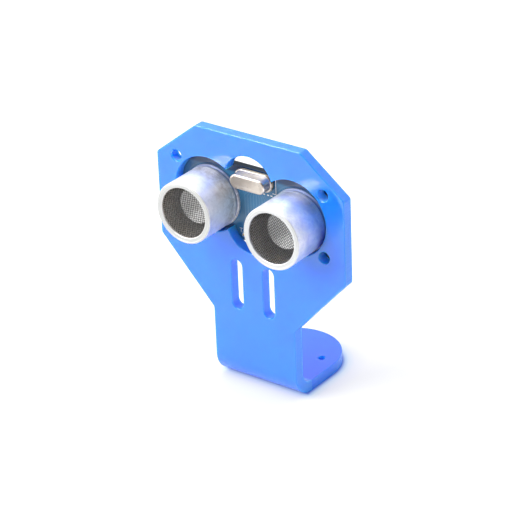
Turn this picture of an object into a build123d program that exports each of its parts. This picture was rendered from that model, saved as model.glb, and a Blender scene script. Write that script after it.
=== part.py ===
from build123d import *
import math
import os

# Ultrasonic distance sensor carried on a bent acrylic bracket.
# Frame, in millimetres: +Z up, the sensor looks towards -Y, +X is on the right of a person facing it.
# Origin: centre of the horn hole in the foot, on the underside of the foot.

os.makedirs("parts", exist_ok=True)

# ---------------------------------------------------------------- shared places
plate_t = 3.0                   # acrylic sheet
plate_front_y = -17.0           # front face of the upright plate
plate_back_y = plate_front_y + plate_t
cutout_z = 50.5                 # height of the bracket's cut-outs

module_drop = 1.5               # the module hangs low in the cut-outs
module_z = cutout_z - module_drop   # height of the transducers' axes
board_t = 1.6
board_front_y = plate_back_y    # the board lies flat on the back of the plate
board_back_y = board_front_y + board_t

transducer_pitch = 26.0
pin_r = 0.35                    # transducer pins
pin_dx = 5.0
crystal_z = 7.4                 # above the transducers' axes
crystal_lead_dx = 2.44
crystal_lead_r = 0.22
header_z = -8.2                 # row of header holes, from the transducers' axes
header_pitch = 2.54
header_count = 4
header_pin_w = 0.64

transducer_pin_x = [side * transducer_pitch / 2 + dx for side in (-1, 1) for dx in (-pin_dx, pin_dx)]
header_x = [(i - (header_count - 1) / 2) * header_pitch for i in range(header_count)]


# ---------------------------------------------------------------- helpers
# "Ahead" is a distance forward (-Y) of the board's front face.
def at_board(x, ahead, z):
    """A point on the module, z measured from the transducers' axes."""
    return (x, board_front_y - ahead, module_z + z)


def slab(sketch, start, end):
    """Extrudes a sketch (x right, y up from the transducers' axes) between two distances ahead."""
    plane = Plane(origin=at_board(0, start, 0), x_dir=(1, 0, 0), z_dir=(0, -1, 0))
    return extrude(plane * sketch, amount=end - start)


def revolved(profile):
    """Revolves a closed outline of (radius, y) points about the Y axis."""
    return revolve(make_face(Polyline(*profile, close=True)), axis=Axis.Y, revolution_arc=360)


def turn(profile, x):
    """Turns (radius, ahead) points about the axis of the transducer at x."""
    return Pos(*at_board(x, 0, 0)) * Rot(180, 0, 0) * revolved(profile)


def side_plane(x):
    """Sketch plane facing +X: local x along +Y, local y along +Z."""
    return Plane(origin=(x, 0, 0), x_dir=(0, 1, 0), z_dir=(1, 0, 0))


def lines_through(*points):
    return [Line(start, end) for start, end in zip(points, points[1:])]


def circular_edges(shape):
    return [e for e in shape.edges() if e.geom_type == GeomType.CIRCLE]


def save(name, *shapes):
    """Writes all solids of the shapes as one STEP file."""
    solids = [solid for shape in shapes for solid in shape.solids()]
    piece = Compound(children=solids) if len(solids) > 1 else solids[0]
    piece.label = name
    export_step(piece, f"parts/{name}.step")


# ================================================================ bracket
top_half = 15.4                 # half width of the top edge
top_z = 68.15
shoulder_half = 27.65           # half width between the shoulders
shoulder_high_z = 58.5
shoulder_low_z = 36.4
neck_half = 12.3                # half width of the neck and foot
neck_top_z = 19.6
head_bottom_z = 15.0            # the flat head overlaps the bent neck between these two heights
bent_top_z = 16.0
corner_r = 1.2                  # rounding of the outline's corners
bend_outer_r = 6.5              # heat-formed bend
bend_inner_r = bend_outer_r - plate_t
bend_end_y = plate_front_y + bend_outer_r   # the bend's axis lies here, where the flat foot starts
foot_blank_y = 20.0             # foot before its end is rounded
foot_arc_y = -0.9               # centre of the foot's round end
edge_r = 0.22                   # flame-polished edges
overcut = 1.0                   # cutters pass this far beyond each face

cutout_x = 12.5                 # cut-outs for the transducers
cutout_r = 9.8
lobe_r = 7.0                    # central cut-out: an upright stadium
lobe_dz = 5.9
slot_x = 4.75                   # two upright slots in the neck
slot_w = 3.4
slot_len = 13.6
slot_z = 27.9
screw_x = 21.6                  # four corner holes for the sensor board
screw_dz = 8.15
screw_r = 1.55
horn_r = 1.25                   # centre hole of the foot
horn_screw_x = 8.0              # two small holes beside it
horn_screw_r = 0.9


def bracket_head():
    outline = make_face(Polyline(
        (-neck_half, head_bottom_z), (neck_half, head_bottom_z), (neck_half, neck_top_z),
        (shoulder_half, shoulder_low_z), (shoulder_half, shoulder_high_z), (top_half, top_z),
        (-top_half, top_z), (-shoulder_half, shoulder_high_z), (-shoulder_half, shoulder_low_z),
        (-neck_half, neck_top_z), close=True))
    outline = fillet([v for v in outline.vertices() if v.Y > bent_top_z], radius=corner_r)
    upright = Plane(origin=(0, plate_back_y, 0), x_dir=(1, 0, 0), z_dir=(0, -1, 0))
    return extrude(upright * outline, amount=plate_t)


def bend_arc(start, end, radius):
    """Quarter circle about the bend's axis, in the (y, z) side profile."""
    reach = radius * math.sqrt(0.5)
    return ThreePointArc(start, (bend_end_y - reach, bend_outer_r - reach), end)


def bracket_neck():
    """Neck, bend and foot, from a side profile; the foot ends in a half circle."""
    front_start, front_end = (plate_front_y, bend_outer_r), (bend_end_y, 0)
    back_start, back_end = (bend_end_y, plate_t), (plate_back_y, bend_outer_r)
    front_top = (plate_front_y, bent_top_z)
    side = make_face([
        *lines_through(front_top, front_start),
        bend_arc(front_start, front_end, bend_outer_r),
        *lines_through(front_end, (foot_blank_y, 0), (foot_blank_y, plate_t), back_start),
        bend_arc(back_start, back_end, bend_inner_r),
        *lines_through(back_end, (plate_back_y, bent_top_z), front_top),
    ])
    neck = extrude(side_plane(-neck_half) * side, amount=2 * neck_half)

    keep_front_y, keep_bottom_z, keep_h = -40, -5, 30
    left_front, right_front = (-neck_half, keep_front_y), (neck_half, keep_front_y)
    left_end, right_end = (-neck_half, foot_arc_y), (neck_half, foot_arc_y)
    keep = extrude(make_face([
        *lines_through(left_front, right_front, right_end),
        ThreePointArc(right_end, (0, foot_arc_y + neck_half), left_end),
        *lines_through(left_end, left_front),
    ]), amount=keep_h)
    return neck & Pos(0, 0, keep_bottom_z) * keep


def plate_cutter(sketch):
    plane = Plane(origin=(0, plate_back_y + overcut, 0), x_dir=(1, 0, 0), z_dir=(0, -1, 0))
    return extrude(plane * sketch, amount=plate_t + 2 * overcut)


def foot_cutter(x, radius):
    return Pos(x, 0, plate_t / 2) * Cylinder(radius, plate_t + 2 * overcut)


def is_broad(face):
    normal = face.normal_at()
    return face.area > 150 and (abs(normal.Y) > 0.99 or abs(normal.Z) > 0.99)


def is_bend_seam(edge):
    """A line along X where the bend meets a flat face."""
    return edge.geom_type == GeomType.LINE and abs(abs(edge.tangent_at(0.5).X) - 1) < 1e-6 and (
        abs(edge.center().Z - bend_outer_r) < 1e-3 or abs(edge.center().Y - bend_end_y) < 1e-3)


def is_bend_face(face):
    return (face.geom_type == GeomType.CYLINDER and face.area > 60 and abs(face.center().X) < 0.1
            and face.center().Z < bend_outer_r and face.center().Y < bend_end_y)


def polished_edges(body):
    """Edges round the broad flat faces, and the arcs at the ends of the bend."""
    edges = []
    for face in body.faces():
        if face.geom_type == GeomType.PLANE and is_broad(face):
            for wire in [face.outer_wire()] + list(face.inner_wires()):
                edges.extend(e for e in wire.edges() if not is_bend_seam(e))
    for face in body.faces():
        if is_bend_face(face):
            edges.extend(circular_edges(face))
    return edges


def bracket():
    body = bracket_head() + bracket_neck()
    eyes = Pos(-cutout_x, cutout_z) * Circle(cutout_r) + Pos(cutout_x, cutout_z) * Circle(cutout_r)
    lobes = Pos(0, cutout_z) * SlotCenterToCenter(2 * lobe_dz, 2 * lobe_r, rotation=90)
    body -= plate_cutter(eyes + lobes)
    for x in (-slot_x, slot_x):
        body -= plate_cutter(Pos(x, slot_z) * SlotOverall(slot_len, slot_w, rotation=90))
    for x in (-screw_x, screw_x):
        for dz in (-screw_dz, screw_dz):
            body -= plate_cutter(Pos(x, cutout_z + dz) * Circle(screw_r))
    body -= foot_cutter(0, horn_r)
    for x in (-horn_screw_x, horn_screw_x):
        body -= foot_cutter(x, horn_screw_r)
    # Guards the rounding of many edges at once: if it fails, the bracket keeps sharp edges.
    try:
        return fillet(polished_edges(body), radius=edge_r)
    except Exception:
        return body


save("bracket", bracket())

# ================================================================ circuit board
board_w = 45.0
board_h = 20.0
board_corner_r = 0.8
board_hole_x = 21.25
board_hole_z = 8.25
board_hole_r = 0.95
lead_clearance = 0.12           # round the transducer pins and crystal leads
header_hole_r = 0.5


def circuit_board():
    holes = [(sx * board_hole_x, sz * board_hole_z, board_hole_r) for sx in (-1, 1) for sz in (-1, 1)]
    holes += [(x, 0, pin_r + lead_clearance) for x in transducer_pin_x]
    holes += [(x, crystal_z, crystal_lead_r + lead_clearance) for x in (-crystal_lead_dx, crystal_lead_dx)]
    holes += [(x, header_z, header_hole_r) for x in header_x]
    sketch = RectangleRounded(board_w, board_h, board_corner_r)
    for x, z, radius in holes:
        sketch -= Pos(x, z) * Circle(radius)
    return slab(sketch, -board_t, 0)


save("circuit_board", circuit_board())

# ================================================================ transducers
can_r = 8.0
can_flange_r = 8.15
can_groove_r = 7.75             # shallow groove between flange and wall
can_len = 12.15                 # board to front rim
can_wall = 0.5
can_inner_r = can_r - can_wall
can_lip_r = 6.5                 # opening in the front lip
can_lip_t = 0.6
can_lip_back = can_len - can_lip_t
can_outer_fillet = 0.4
can_inner_fillet = 0.2
rim_split_r = can_lip_r + 0.5   # tells the rim's outer edge from its inner one
mesh_r = can_inner_r - 0.05
mesh_t = 0.35
mesh_pitch = 1.0
mesh_hole = 0.66                # side of a square opening
mesh_margin = 0.05              # openings stay this far inside the lip's opening
base_gap = 0.03
base_t = 2.0
base_pin_gap = 0.02
ring_outer_r = 4.3
ring_inner_r = 3.4
notch_x = -3.9                  # notch in the support ring, from the transducer's axis
notch_w = 2.0
notch_h = 1.0
notch_overcut = 0.5
disc_r = 5.5                    # vibrating metal plate
disc_t = 0.25
disc_back = 4.6                 # distance of the vibrating plate from the board
disc_front = disc_back + disc_t
piezo_r = 3.1
piezo_t = 0.5
cone_small_r = 1.3
cone_large_r = 4.8
cone_front = 7.2
cone_rim_w = 0.3
cone_floor_t = 0.35
cone_floor_inset = 0.1
pin_inner_end = 3.3
pin_rear_reach = 1.0            # beyond the back of the board
pin_chamfer = 0.08
wire_r = 0.1


def front_rim_edges(case):
    front_y = board_front_y - can_len
    return [e for e in circular_edges(case) if abs(e.center().Y - front_y) < 1e-3]


def transducer_can(x):
    """Case: base flange, straight wall and a rolled front lip."""
    case = turn([
        (can_inner_r, 0), (can_flange_r, 0), (can_flange_r, 0.55), (can_groove_r, 0.85),
        (can_groove_r, 1.15), (can_r, 1.5), (can_r, can_len), (can_lip_r, can_len),
        (can_lip_r, can_lip_back), (can_inner_r, can_lip_back)], x)
    outer = [e for e in front_rim_edges(case) if e.radius > rim_split_r]
    case = fillet(outer, radius=can_outer_fillet)
    inner = [e for e in front_rim_edges(case) if e.radius < rim_split_r]
    return fillet(inner, radius=can_inner_fillet)


def transducer_mesh(x):
    """Screen behind the lip: a round sheet with square openings."""
    holes = []
    count = int(can_lip_r / mesh_pitch) + 1
    for i in range(-count, count + 1):
        for j in range(-count, count + 1):
            far_corner = math.hypot(abs(i) * mesh_pitch + mesh_hole / 2, abs(j) * mesh_pitch + mesh_hole / 2)
            if far_corner < can_lip_r - mesh_margin:
                holes.append(Pos(x + i * mesh_pitch, j * mesh_pitch) * Rectangle(mesh_hole, mesh_hole))
    sheet = Sketch() + [Pos(x, 0) * Circle(mesh_r)]
    return slab(sheet - holes, can_lip_back - mesh_t, can_lip_back)


def transducer_base(x):
    """Closes the back of the case."""
    base = Pos(x, 0) * Circle(can_inner_r - base_gap)
    for dx in (-pin_dx, pin_dx):
        base -= Pos(x + dx, 0) * Circle(pin_r + base_pin_gap)
    return slab(base, 0, base_t)


def support_ring(x):
    """Soft ring under the vibrating plate, notched for one lead wire."""
    ring = turn([(ring_inner_r, base_t), (ring_outer_r, base_t),
                 (ring_outer_r, disc_back), (ring_inner_r, disc_back)], x)
    notch = Pos(x + notch_x, 0) * Rectangle(notch_w, notch_h)
    return ring - slab(notch, base_t - notch_overcut, disc_back + notch_overcut)


def resonator_cone(x):
    """Thin-walled cone, small end on the vibrating plate."""
    floor_front = disc_front + cone_floor_t
    return turn([
        (0, disc_front), (cone_small_r, disc_front), (cone_large_r, cone_front),
        (cone_large_r - cone_rim_w, cone_front), (cone_small_r - cone_floor_inset, floor_front),
        (0, floor_front)], x)


def transducer_pin(x):
    pin = slab(Pos(x, 0) * Circle(pin_r), -(board_t + pin_rear_reach), pin_inner_end)
    return chamfer(circular_edges(pin), length=pin_chamfer)


def lead_wire(*points):
    """Fine wire that leaves the first point and meets the last one heading forward."""
    forward = (0, -1, 0)
    path = Spline(*points, tangents=[forward, forward])
    return sweep(Plane(origin=points[0], z_dir=forward) * Circle(wire_r), path=path)


def transducer_wires(x):
    """One wire from a pin to the vibrating plate, one from the other pin to the piezo disc."""
    right, left = x + pin_dx, x - pin_dx
    to_plate = lead_wire(
        at_board(right, pin_inner_end, 0),
        at_board(right + 0.12, (pin_inner_end + disc_back) / 2, 0.25),
        at_board(right, disc_back, 0))
    to_piezo = lead_wire(
        at_board(left, pin_inner_end, 0),
        at_board(left + 0.45, pin_inner_end + 0.45, 0),
        at_board(x - 3.5, pin_inner_end + 0.25, 0),
        at_board(x - 2.4, disc_back - piezo_t, 0))
    return to_plate, to_piezo


for name, x in (("transmitter", -transducer_pitch / 2), ("receiver", transducer_pitch / 2)):
    save(f"{name}_can", transducer_can(x))
    save(f"{name}_mesh", transducer_mesh(x))
    save(f"{name}_base", transducer_base(x))
    save(f"{name}_support_ring", support_ring(x))
    save(f"{name}_plate", slab(Pos(x, 0) * Circle(disc_r), disc_back, disc_front))
    save(f"{name}_piezo", slab(Pos(x, 0) * Circle(piezo_r), disc_back - piezo_t, disc_back))
    save(f"{name}_cone", resonator_cone(x))
    save(f"{name}_pins", *[transducer_pin(x + dx) for dx in (-pin_dx, pin_dx)])
    save(f"{name}_wires", *transducer_wires(x))

# ================================================================ crystal
crystal_w = 10.3
crystal_h = 3.8
crystal_flange_w = 11.3
crystal_flange_h = 4.6
crystal_gap = 0.3               # the crystal stands this far off the board
crystal_flange_t = 0.6
shell_back = crystal_gap + crystal_flange_t
shell_front = 3.75
shell_t = 0.25
shell_fillet = 0.45
shell_rim_grow = 0.62           # rim's outline beyond the shell's, both sides together
shell_rim_overlap = 0.1
shell_rim_t = 0.22
crystal_lead_gap = 0.01
crystal_lead_rear_reach = 0.9
crystal_lead_front = shell_back + 0.5
blank_w = 7.56
blank_h = 1.8
blank_back, blank_front = shell_back + 0.85, shell_back + 1.05

# Blocks of a clip: centre x, width, height, back and front ahead of the shell's back
clip_blocks = [
    (crystal_lead_dx, 0.7, 0.8, 0.5, 0.62),     # foot on the lead
    (3.0, 1.8, 0.5, 0.62, 0.74),                # arm
    (3.85, 0.12, 0.5, 0.74, 1.3),               # post at the blank's end
]


def oval(width, height):
    return Pos(0, crystal_z) * SlotOverall(width, height)


def crystal_base():
    base = slab(oval(crystal_flange_w, crystal_flange_h), crystal_gap, shell_back)
    for x in (-crystal_lead_dx, crystal_lead_dx):
        hole = Pos(x, crystal_z) * Circle(crystal_lead_r + crystal_lead_gap)
        base -= slab(hole, crystal_gap - 1, crystal_gap + 2)
    return base


def crystal_can():
    shell = slab(oval(crystal_w, crystal_h), shell_back, shell_front)
    front_y = board_front_y - shell_front
    front = [e for e in shell.edges() if abs(e.center().Y - front_y) < 1e-3]
    shell = fillet(front, radius=shell_fillet)
    cavity = oval(crystal_w - 2 * shell_t, crystal_h - 2 * shell_t)
    shell -= slab(cavity, shell_back, shell_front - shell_t)
    rim = (oval(crystal_w + shell_rim_grow, crystal_h + shell_rim_grow)
           - oval(crystal_w - shell_rim_overlap, crystal_h - shell_rim_overlap))
    return shell + slab(rim, shell_back, shell_back + shell_rim_t)


def crystal_lead(x):
    section = Pos(x, crystal_z) * Circle(crystal_lead_r)
    return slab(section, -(board_t + crystal_lead_rear_reach), crystal_lead_front)


def crystal_clip(side):
    """Stands on a lead and holds the quartz blank by its end."""
    foot, arm, post = [
        slab(Pos(side * x, crystal_z) * Rectangle(width, height), shell_back + back, shell_back + front)
        for x, width, height, back, front in clip_blocks]
    return foot + arm + post


save("crystal_base", crystal_base())
save("crystal_can", crystal_can())
save("crystal_leads", *[crystal_lead(x) for x in (-crystal_lead_dx, crystal_lead_dx)])
save("crystal_clips", *[crystal_clip(side) for side in (-1, 1)])
save("crystal_blank", slab(Pos(0, crystal_z) * Rectangle(blank_w, blank_h), blank_back, blank_front))

# ================================================================ chips on the back
mould_taper = 8
chip_w = 3.9
chip_bottom, chip_seam, chip_top = 0.12, 0.82, 1.62     # heights off the board
chip_lead_pitch = 1.27
chip_lead_w = 0.42
chip_lead_t = 0.22
chip_mark_r = 0.4               # round dimple near one corner
chip_mark_inset = 1.0
chip_mark_cut = 0.16            # cutter's length, half of it sunk in the body
chip_bevel = 0.5                # side of the square cutter along the lower long edge
chip_bevel_offset = 0.12

transistor_l = 2.9
transistor_w = 1.3
transistor_bottom, transistor_seam, transistor_top = 0.08, 0.5, 1.0
transistor_lead_w = 0.4
transistor_pair_dx = 0.95

# Gull-wing lead profiles: distance across from the part's centre line, height off the board
chip_lead_profile = [
    (chip_w / 2, chip_seam - chip_lead_t / 2), (chip_w / 2 + 0.28, chip_seam - chip_lead_t / 2),
    (chip_w / 2 + 0.42, 0.0), (chip_w / 2 + 1.10, 0.0), (chip_w / 2 + 1.10, chip_lead_t),
    (chip_w / 2 + 0.62, chip_lead_t), (chip_w / 2 + 0.46, chip_seam + chip_lead_t / 2),
    (chip_w / 2, chip_seam + chip_lead_t / 2)]
transistor_lead_profile = [
    (0.65, 0.45), (0.78, 0.45), (0.86, 0.0), (1.2, 0.0),
    (1.2, 0.12), (0.97, 0.12), (0.88, 0.57), (0.65, 0.57)]

# name, x, z, leads on each side, body length
chips = [
    ("controller_chip", 0.0, -0.6, 7, 8.65),
    ("amplifier_chip", 13.4, 5.5, 7, 8.65),
    ("driver_chip", -13.2, -5.3, 8, 9.9),
]
transistor_places = [(19.2, -2.4), (-5.2, 3.3)]     # x, z


def back_plane(x, z, along):
    """Plane on the back of the board: local x in the given direction, local z away from it (+Y)."""
    return Plane(origin=(x, board_back_y, module_z + z), x_dir=along, z_dir=(0, 1, 0))


def moulded_body(length, width, bottom, seam, top):
    """Body that tapers up and down from its seam."""
    upper = extrude(Pos(0, 0, seam) * Rectangle(length, width), amount=top - seam, taper=mould_taper)
    lower = extrude(Pos(0, 0, seam) * Rectangle(length, width), amount=-(seam - bottom), taper=mould_taper)
    return upper + lower


def gull_lead(profile, width):
    face = make_face(Polyline(*profile, close=True))
    return extrude(side_plane(0) * face, amount=width / 2, both=True)


def small_outline(name, x, z, leads_per_side, length):
    """Small-outline package: moulded body and two rows of gull-wing leads."""
    place = back_plane(x, z, (-1, 0, 0))
    body = moulded_body(length, chip_w, chip_bottom, chip_seam, chip_top)
    body -= Pos(-length / 2 + chip_mark_inset, -chip_w / 2 + chip_mark_inset, chip_top) * Cylinder(
        chip_mark_r, chip_mark_cut)
    body -= Pos(0, -chip_w / 2 - chip_bevel_offset, chip_top + chip_bevel_offset) * Rot(45, 0, 0) * Box(
        length + 1, chip_bevel, chip_bevel)
    save(f"{name}_body", place * body)

    lead = gull_lead(chip_lead_profile, chip_lead_w)
    leads = []
    for i in range(leads_per_side):
        spot = Pos((i - (leads_per_side - 1) / 2) * chip_lead_pitch, 0, 0)
        leads.append(place * spot * lead)
        leads.append(place * spot * Rot(0, 0, 180) * lead)
    save(f"{name}_leads", *leads)


def transistors():
    """Three-legged packages: one leg below, two above."""
    bodies, legs = [], []
    leg = gull_lead(transistor_lead_profile, transistor_lead_w)
    for x, z in transistor_places:
        place = back_plane(x, z, (1, 0, 0))
        bodies.append(place * moulded_body(
            transistor_l, transistor_w, transistor_bottom, transistor_seam, transistor_top))
        legs.append(place * leg)
        for dx in (-transistor_pair_dx, transistor_pair_dx):
            legs.append(place * Pos(dx, 0, 0) * Rot(0, 0, 180) * leg)
    save("transistor_bodies", *bodies)
    save("transistor_leads", *legs)


for chip in chips:
    small_outline(*chip)
transistors()

# ---------------------------------------------------------------- resistors and capacitors
# x, z, whether the part's length stands upright
resistor_places = [
    (-19.4, 5.2, True), (-16.9, 5.2, True), (-14.5, 5.2, True), (-12.1, 5.2, True), (-9.6, 5.2, True),
    (-5.9, 7.3, True), (6.3, 5.4, True), (6.3, 2.3, True), (19.6, 5.4, True), (9.0, -4.4, False),
    (12.2, -4.4, False), (15.4, -4.4, False), (9.0, -6.3, False), (18.8, -6.4, True), (-6.0, -6.4, True)]
capacitor_places = [
    (-18.2, 2.4, False), (-13.0, 2.4, False), (-8.4, 2.4, False), (0.0, 4.2, False),
    (12.2, -6.5, False), (15.8, -6.5, False), (6.2, -4.6, True), (0.0, -6.0, False)]


def chip_parts(name, places, length, width, height, cap):
    """Two-terminal chip parts: each a body between two end caps."""
    body_lift, cap_lift, body_inset = 0.03, 0.01, 0.04
    bodies, caps = [], []
    for x, z, upright in places:
        place = back_plane(x, z, (0, 0, 1) if upright else (1, 0, 0))
        bodies.append(place * Pos(0, 0, height / 2 + body_lift) * Box(
            length - 2 * cap, width - body_inset, height - body_inset))
        for side in (-1, 1):
            spot = Pos(side * (length - cap) / 2, 0, height / 2 + cap_lift)
            caps.append(place * spot * Box(cap, width, height))
    save(f"{name}_bodies", *bodies)
    save(f"{name}_terminals", *caps)


chip_parts("resistor", resistor_places, length=1.6, width=0.8, height=0.45, cap=0.3)
chip_parts("capacitor", capacitor_places, length=2.0, width=1.25, height=0.85, cap=0.4)

# ================================================================ pin header
block_h = 2.54
block_top_z = header_z - 1.15
block_mid_z = module_z + block_top_z - block_h / 2
header_axis_y = board_back_y + header_pitch / 2     # the free pins run down at this depth
block_notch = 0.55              # side of the square cutters between the pins
header_end_z = -17.0            # free ends of the pins, from the transducers' axes
header_front_reach = 1.0        # ahead of the board
header_tip = 0.2                # bevel of the pin ends
header_bend_r = 0.7


def header_block():
    def at_block(x, y):
        return Pos(x, y, block_mid_z)

    block = at_block(0, header_axis_y) * Box(header_count * header_pitch, header_pitch, block_h)
    for i in range(header_count + 1):
        x = (i - header_count / 2) * header_pitch
        for side in (-1, 1):
            block -= at_block(x, header_axis_y + side * header_pitch / 2) * Rot(0, 0, 45) * Box(
                block_notch, block_notch, block_h + 1)
    for x in header_x:
        block -= at_block(x, header_axis_y) * Box(header_pin_w, header_pin_w, block_h + 1)
    return block


def header_pin_profile():
    """Side view (y, z) of an angled pin: back through the board, then down."""
    half = header_pin_w / 2
    front = board_front_y - header_front_reach
    near, far = header_axis_y - half, header_axis_y + half
    low, high = module_z + header_z - half, module_z + header_z + half
    end = module_z + header_end_z
    tip = header_tip
    bend_start, bend_end = (far - header_bend_r, high), (far, high - header_bend_r)
    return make_face([
        *lines_through((front, low + tip), (front, high - tip), (front + tip, high), bend_start),
        RadiusArc(bend_start, bend_end, header_bend_r),
        *lines_through(bend_end, (far, end + tip), (far - tip, end), (near + tip, end),
                       (near, end + tip), (near, low), (front + tip, low), (front, low + tip)),
    ])


pin_profile = header_pin_profile()
save("header_block", header_block())
save("header_pins", *[
    extrude(side_plane(x - header_pin_w / 2) * pin_profile, amount=header_pin_w) for x in header_x])

# ================================================================ solder joints
solder_steps = 6
solder_edge_t = 0.06


def solder(x, z, base_r, top_r, height, back, pin_section):
    """A concave fillet of solder round a pin, on the back or front of the board."""
    points = [(0, 0), (base_r, 0), (base_r, solder_edge_t)]
    for i in range(1, solder_steps + 1):
        part = i / solder_steps
        points.append((base_r + (top_r - base_r) * (1 - (1 - part) ** 1.8),
                       solder_edge_t + (height - solder_edge_t) * part ** 1.4))
    points.append((0, height))
    body = revolved(points)
    pin_at = Pos(x, z) * pin_section
    if back:
        return Pos(x, board_back_y, module_z + z) * body - slab(pin_at, -(board_t + 3), 0)
    return Pos(x, board_front_y, module_z + z) * Rot(180, 0, 0) * body - slab(pin_at, 0, 3)


rear_joints = [solder(x, 0, 1.05, 0.45, 0.85, True, Circle(pin_r)) for x in transducer_pin_x]
rear_joints += [solder(x, crystal_z, 0.8, 0.3, 0.7, True, Circle(crystal_lead_r))
                for x in (-crystal_lead_dx, crystal_lead_dx)]
save("rear_solder_joints", *rear_joints)
save("front_solder_joints", *[
    solder(x, header_z, 0.88, 0.5, 0.75, False, Rectangle(header_pin_w, header_pin_w)) for x in header_x])
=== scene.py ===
# Ultrasonic distance sensor: a circuit board with two round transducers on a bent blue acrylic
# bracket. The scene is in metres, +Z up, and the sensor looks towards -Y. Lengths here are in
# millimetres unless noted. A place on the board is (x, s, z): s is the distance off its front or
# back face, z the height above the transducers' axes.
import math
import random

import bmesh
import bpy
from mathutils import Matrix, Vector
from mathutils.geometry import tessellate_polygon


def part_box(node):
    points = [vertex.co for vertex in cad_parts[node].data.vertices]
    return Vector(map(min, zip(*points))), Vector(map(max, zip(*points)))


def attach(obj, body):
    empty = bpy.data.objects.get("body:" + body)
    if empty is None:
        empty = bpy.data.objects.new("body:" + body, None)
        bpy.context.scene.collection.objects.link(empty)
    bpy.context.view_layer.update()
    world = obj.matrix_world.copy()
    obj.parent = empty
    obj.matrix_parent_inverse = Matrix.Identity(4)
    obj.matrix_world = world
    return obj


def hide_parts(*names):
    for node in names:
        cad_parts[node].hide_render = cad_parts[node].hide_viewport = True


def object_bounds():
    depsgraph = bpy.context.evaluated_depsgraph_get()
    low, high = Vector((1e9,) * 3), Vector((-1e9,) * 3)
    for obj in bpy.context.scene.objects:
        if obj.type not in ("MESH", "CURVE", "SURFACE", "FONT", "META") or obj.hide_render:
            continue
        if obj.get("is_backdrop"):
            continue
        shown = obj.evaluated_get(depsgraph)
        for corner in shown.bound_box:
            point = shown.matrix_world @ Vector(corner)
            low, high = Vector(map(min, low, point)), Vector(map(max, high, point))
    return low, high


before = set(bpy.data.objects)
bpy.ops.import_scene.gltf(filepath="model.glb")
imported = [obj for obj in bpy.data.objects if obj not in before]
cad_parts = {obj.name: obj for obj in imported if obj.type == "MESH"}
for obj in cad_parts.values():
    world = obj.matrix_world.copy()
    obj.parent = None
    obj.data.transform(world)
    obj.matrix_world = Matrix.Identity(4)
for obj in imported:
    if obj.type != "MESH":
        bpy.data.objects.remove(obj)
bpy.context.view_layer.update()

random.seed(7)

MM = 0.001
MODULE = "sensor_module"


def box_mm(node):
    low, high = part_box(node)
    return low / MM, high / MM


bracket_low, bracket_high = box_mm("bracket")
board_low, board_high = box_mm("circuit_board")
FRONT = board_low.y                         # front face of the board
BACK = board_high.y                         # back face of the board
AXIS_Z = (board_low.z + board_high.z) / 2   # height of the transducers' axes
PLATE = bracket_low.y                       # front face of the upright plate
TRANSDUCER_X = 13.0                         # transducer axes lie at plus and minus this
PIN_X = 5.0                                 # a transducer's pins lie this far either side of it

# the plate's cut-outs: two circles and a tall lobe between them
EYE_X = 12.5
EYE_Z = AXIS_Z + 1.5
EYE_RADIUS = 9.8
LOBE_RADIUS = 7.0
LOBE_HALF_HEIGHT = 5.9                      # of its straight part


def cutout(x, z, margin):
    """True if a point of the board's front face shows through the plate's cut-outs."""
    if math.hypot(abs(x) - EYE_X, z - EYE_Z) < EYE_RADIUS - margin:
        return True
    beyond = max(0.0, abs(z - EYE_Z) - LOBE_HALF_HEIGHT)
    return math.hypot(x, beyond) < LOBE_RADIUS - margin


# ============================================================ shader graphs
class Value:
    """A number, vector or colour in a shader graph. Arithmetic on it adds Math nodes."""

    def __init__(self, graph, socket):
        self.graph = graph
        self.socket = socket

    def math(self, operation, other=0.0):
        return self.graph.node("ShaderNodeMath", {0: self, 1: other}, operation=operation)

    def __add__(self, other):
        return self.math("ADD", other)

    def __sub__(self, other):
        return self.math("SUBTRACT", other)

    def __rsub__(self, other):
        return self.graph.node("ShaderNodeMath", {0: other, 1: self}, operation="SUBTRACT")

    def __mul__(self, other):
        return self.math("MULTIPLY", other)

    def __abs__(self):
        return self.math("ABSOLUTE")

    def split(self):
        parts = self.graph.node("ShaderNodeSeparateXYZ", {0: self})
        return [Value(self.graph, socket) for socket in parts.socket.node.outputs]

    def span(self, over=(0.3, 0.7), to=(0.0, 1.0), smooth=False):
        """Carries the range `over` to the range `to`, clamped."""
        inputs = dict(enumerate((self, *over, *to)))
        kind = "SMOOTHSTEP" if smooth else "LINEAR"
        return self.graph.node("ShaderNodeMapRange", inputs, interpolation_type=kind, clamp=True)

    def mix(self, low, high):
        """Colour `low` where this is 0, `high` where it is 1."""
        inputs = {"Factor": self, 6: low, 7: high}
        return self.graph.node("ShaderNodeMix", inputs, output=2, data_type="RGBA")

    def toward(self, colour, by):
        """This colour moved towards another by a factor."""
        return by.mix(self, colour)

    def ramp(self, stops):
        """stops: (position, colour)"""
        ramp = self.graph.node("ShaderNodeValToRGB", {0: self})
        elements = ramp.socket.node.color_ramp.elements
        for index, (position, colour) in enumerate((stops[0], stops[-1])):
            elements[index].position = position
            elements[index].color = (*colour, 1)
        for position, colour in stops[1:-1]:
            elements.new(position).color = (*colour, 1)
        return ramp

    def tones(self, dark, light, over=(0.3, 0.7)):
        return self.ramp([(over[0], dark), (over[1], light)])


class Graph:
    def __init__(self, tree):
        self.tree = tree

    def feed(self, socket, value):
        if isinstance(value, Value):
            self.tree.links.new(value.socket, socket)
        elif isinstance(value, tuple):
            size = len(socket.default_value)
            socket.default_value = (value + (1.0,) * 4)[:size]
        else:
            socket.default_value = value

    def node(self, kind, inputs=None, output=0, **settings):
        node = self.tree.nodes.new(kind)
        for name, value in settings.items():
            setattr(node, name, value)
        for key, value in (inputs or {}).items():
            self.feed(node.inputs[key], value)
        return Value(self, node.outputs[output])


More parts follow.
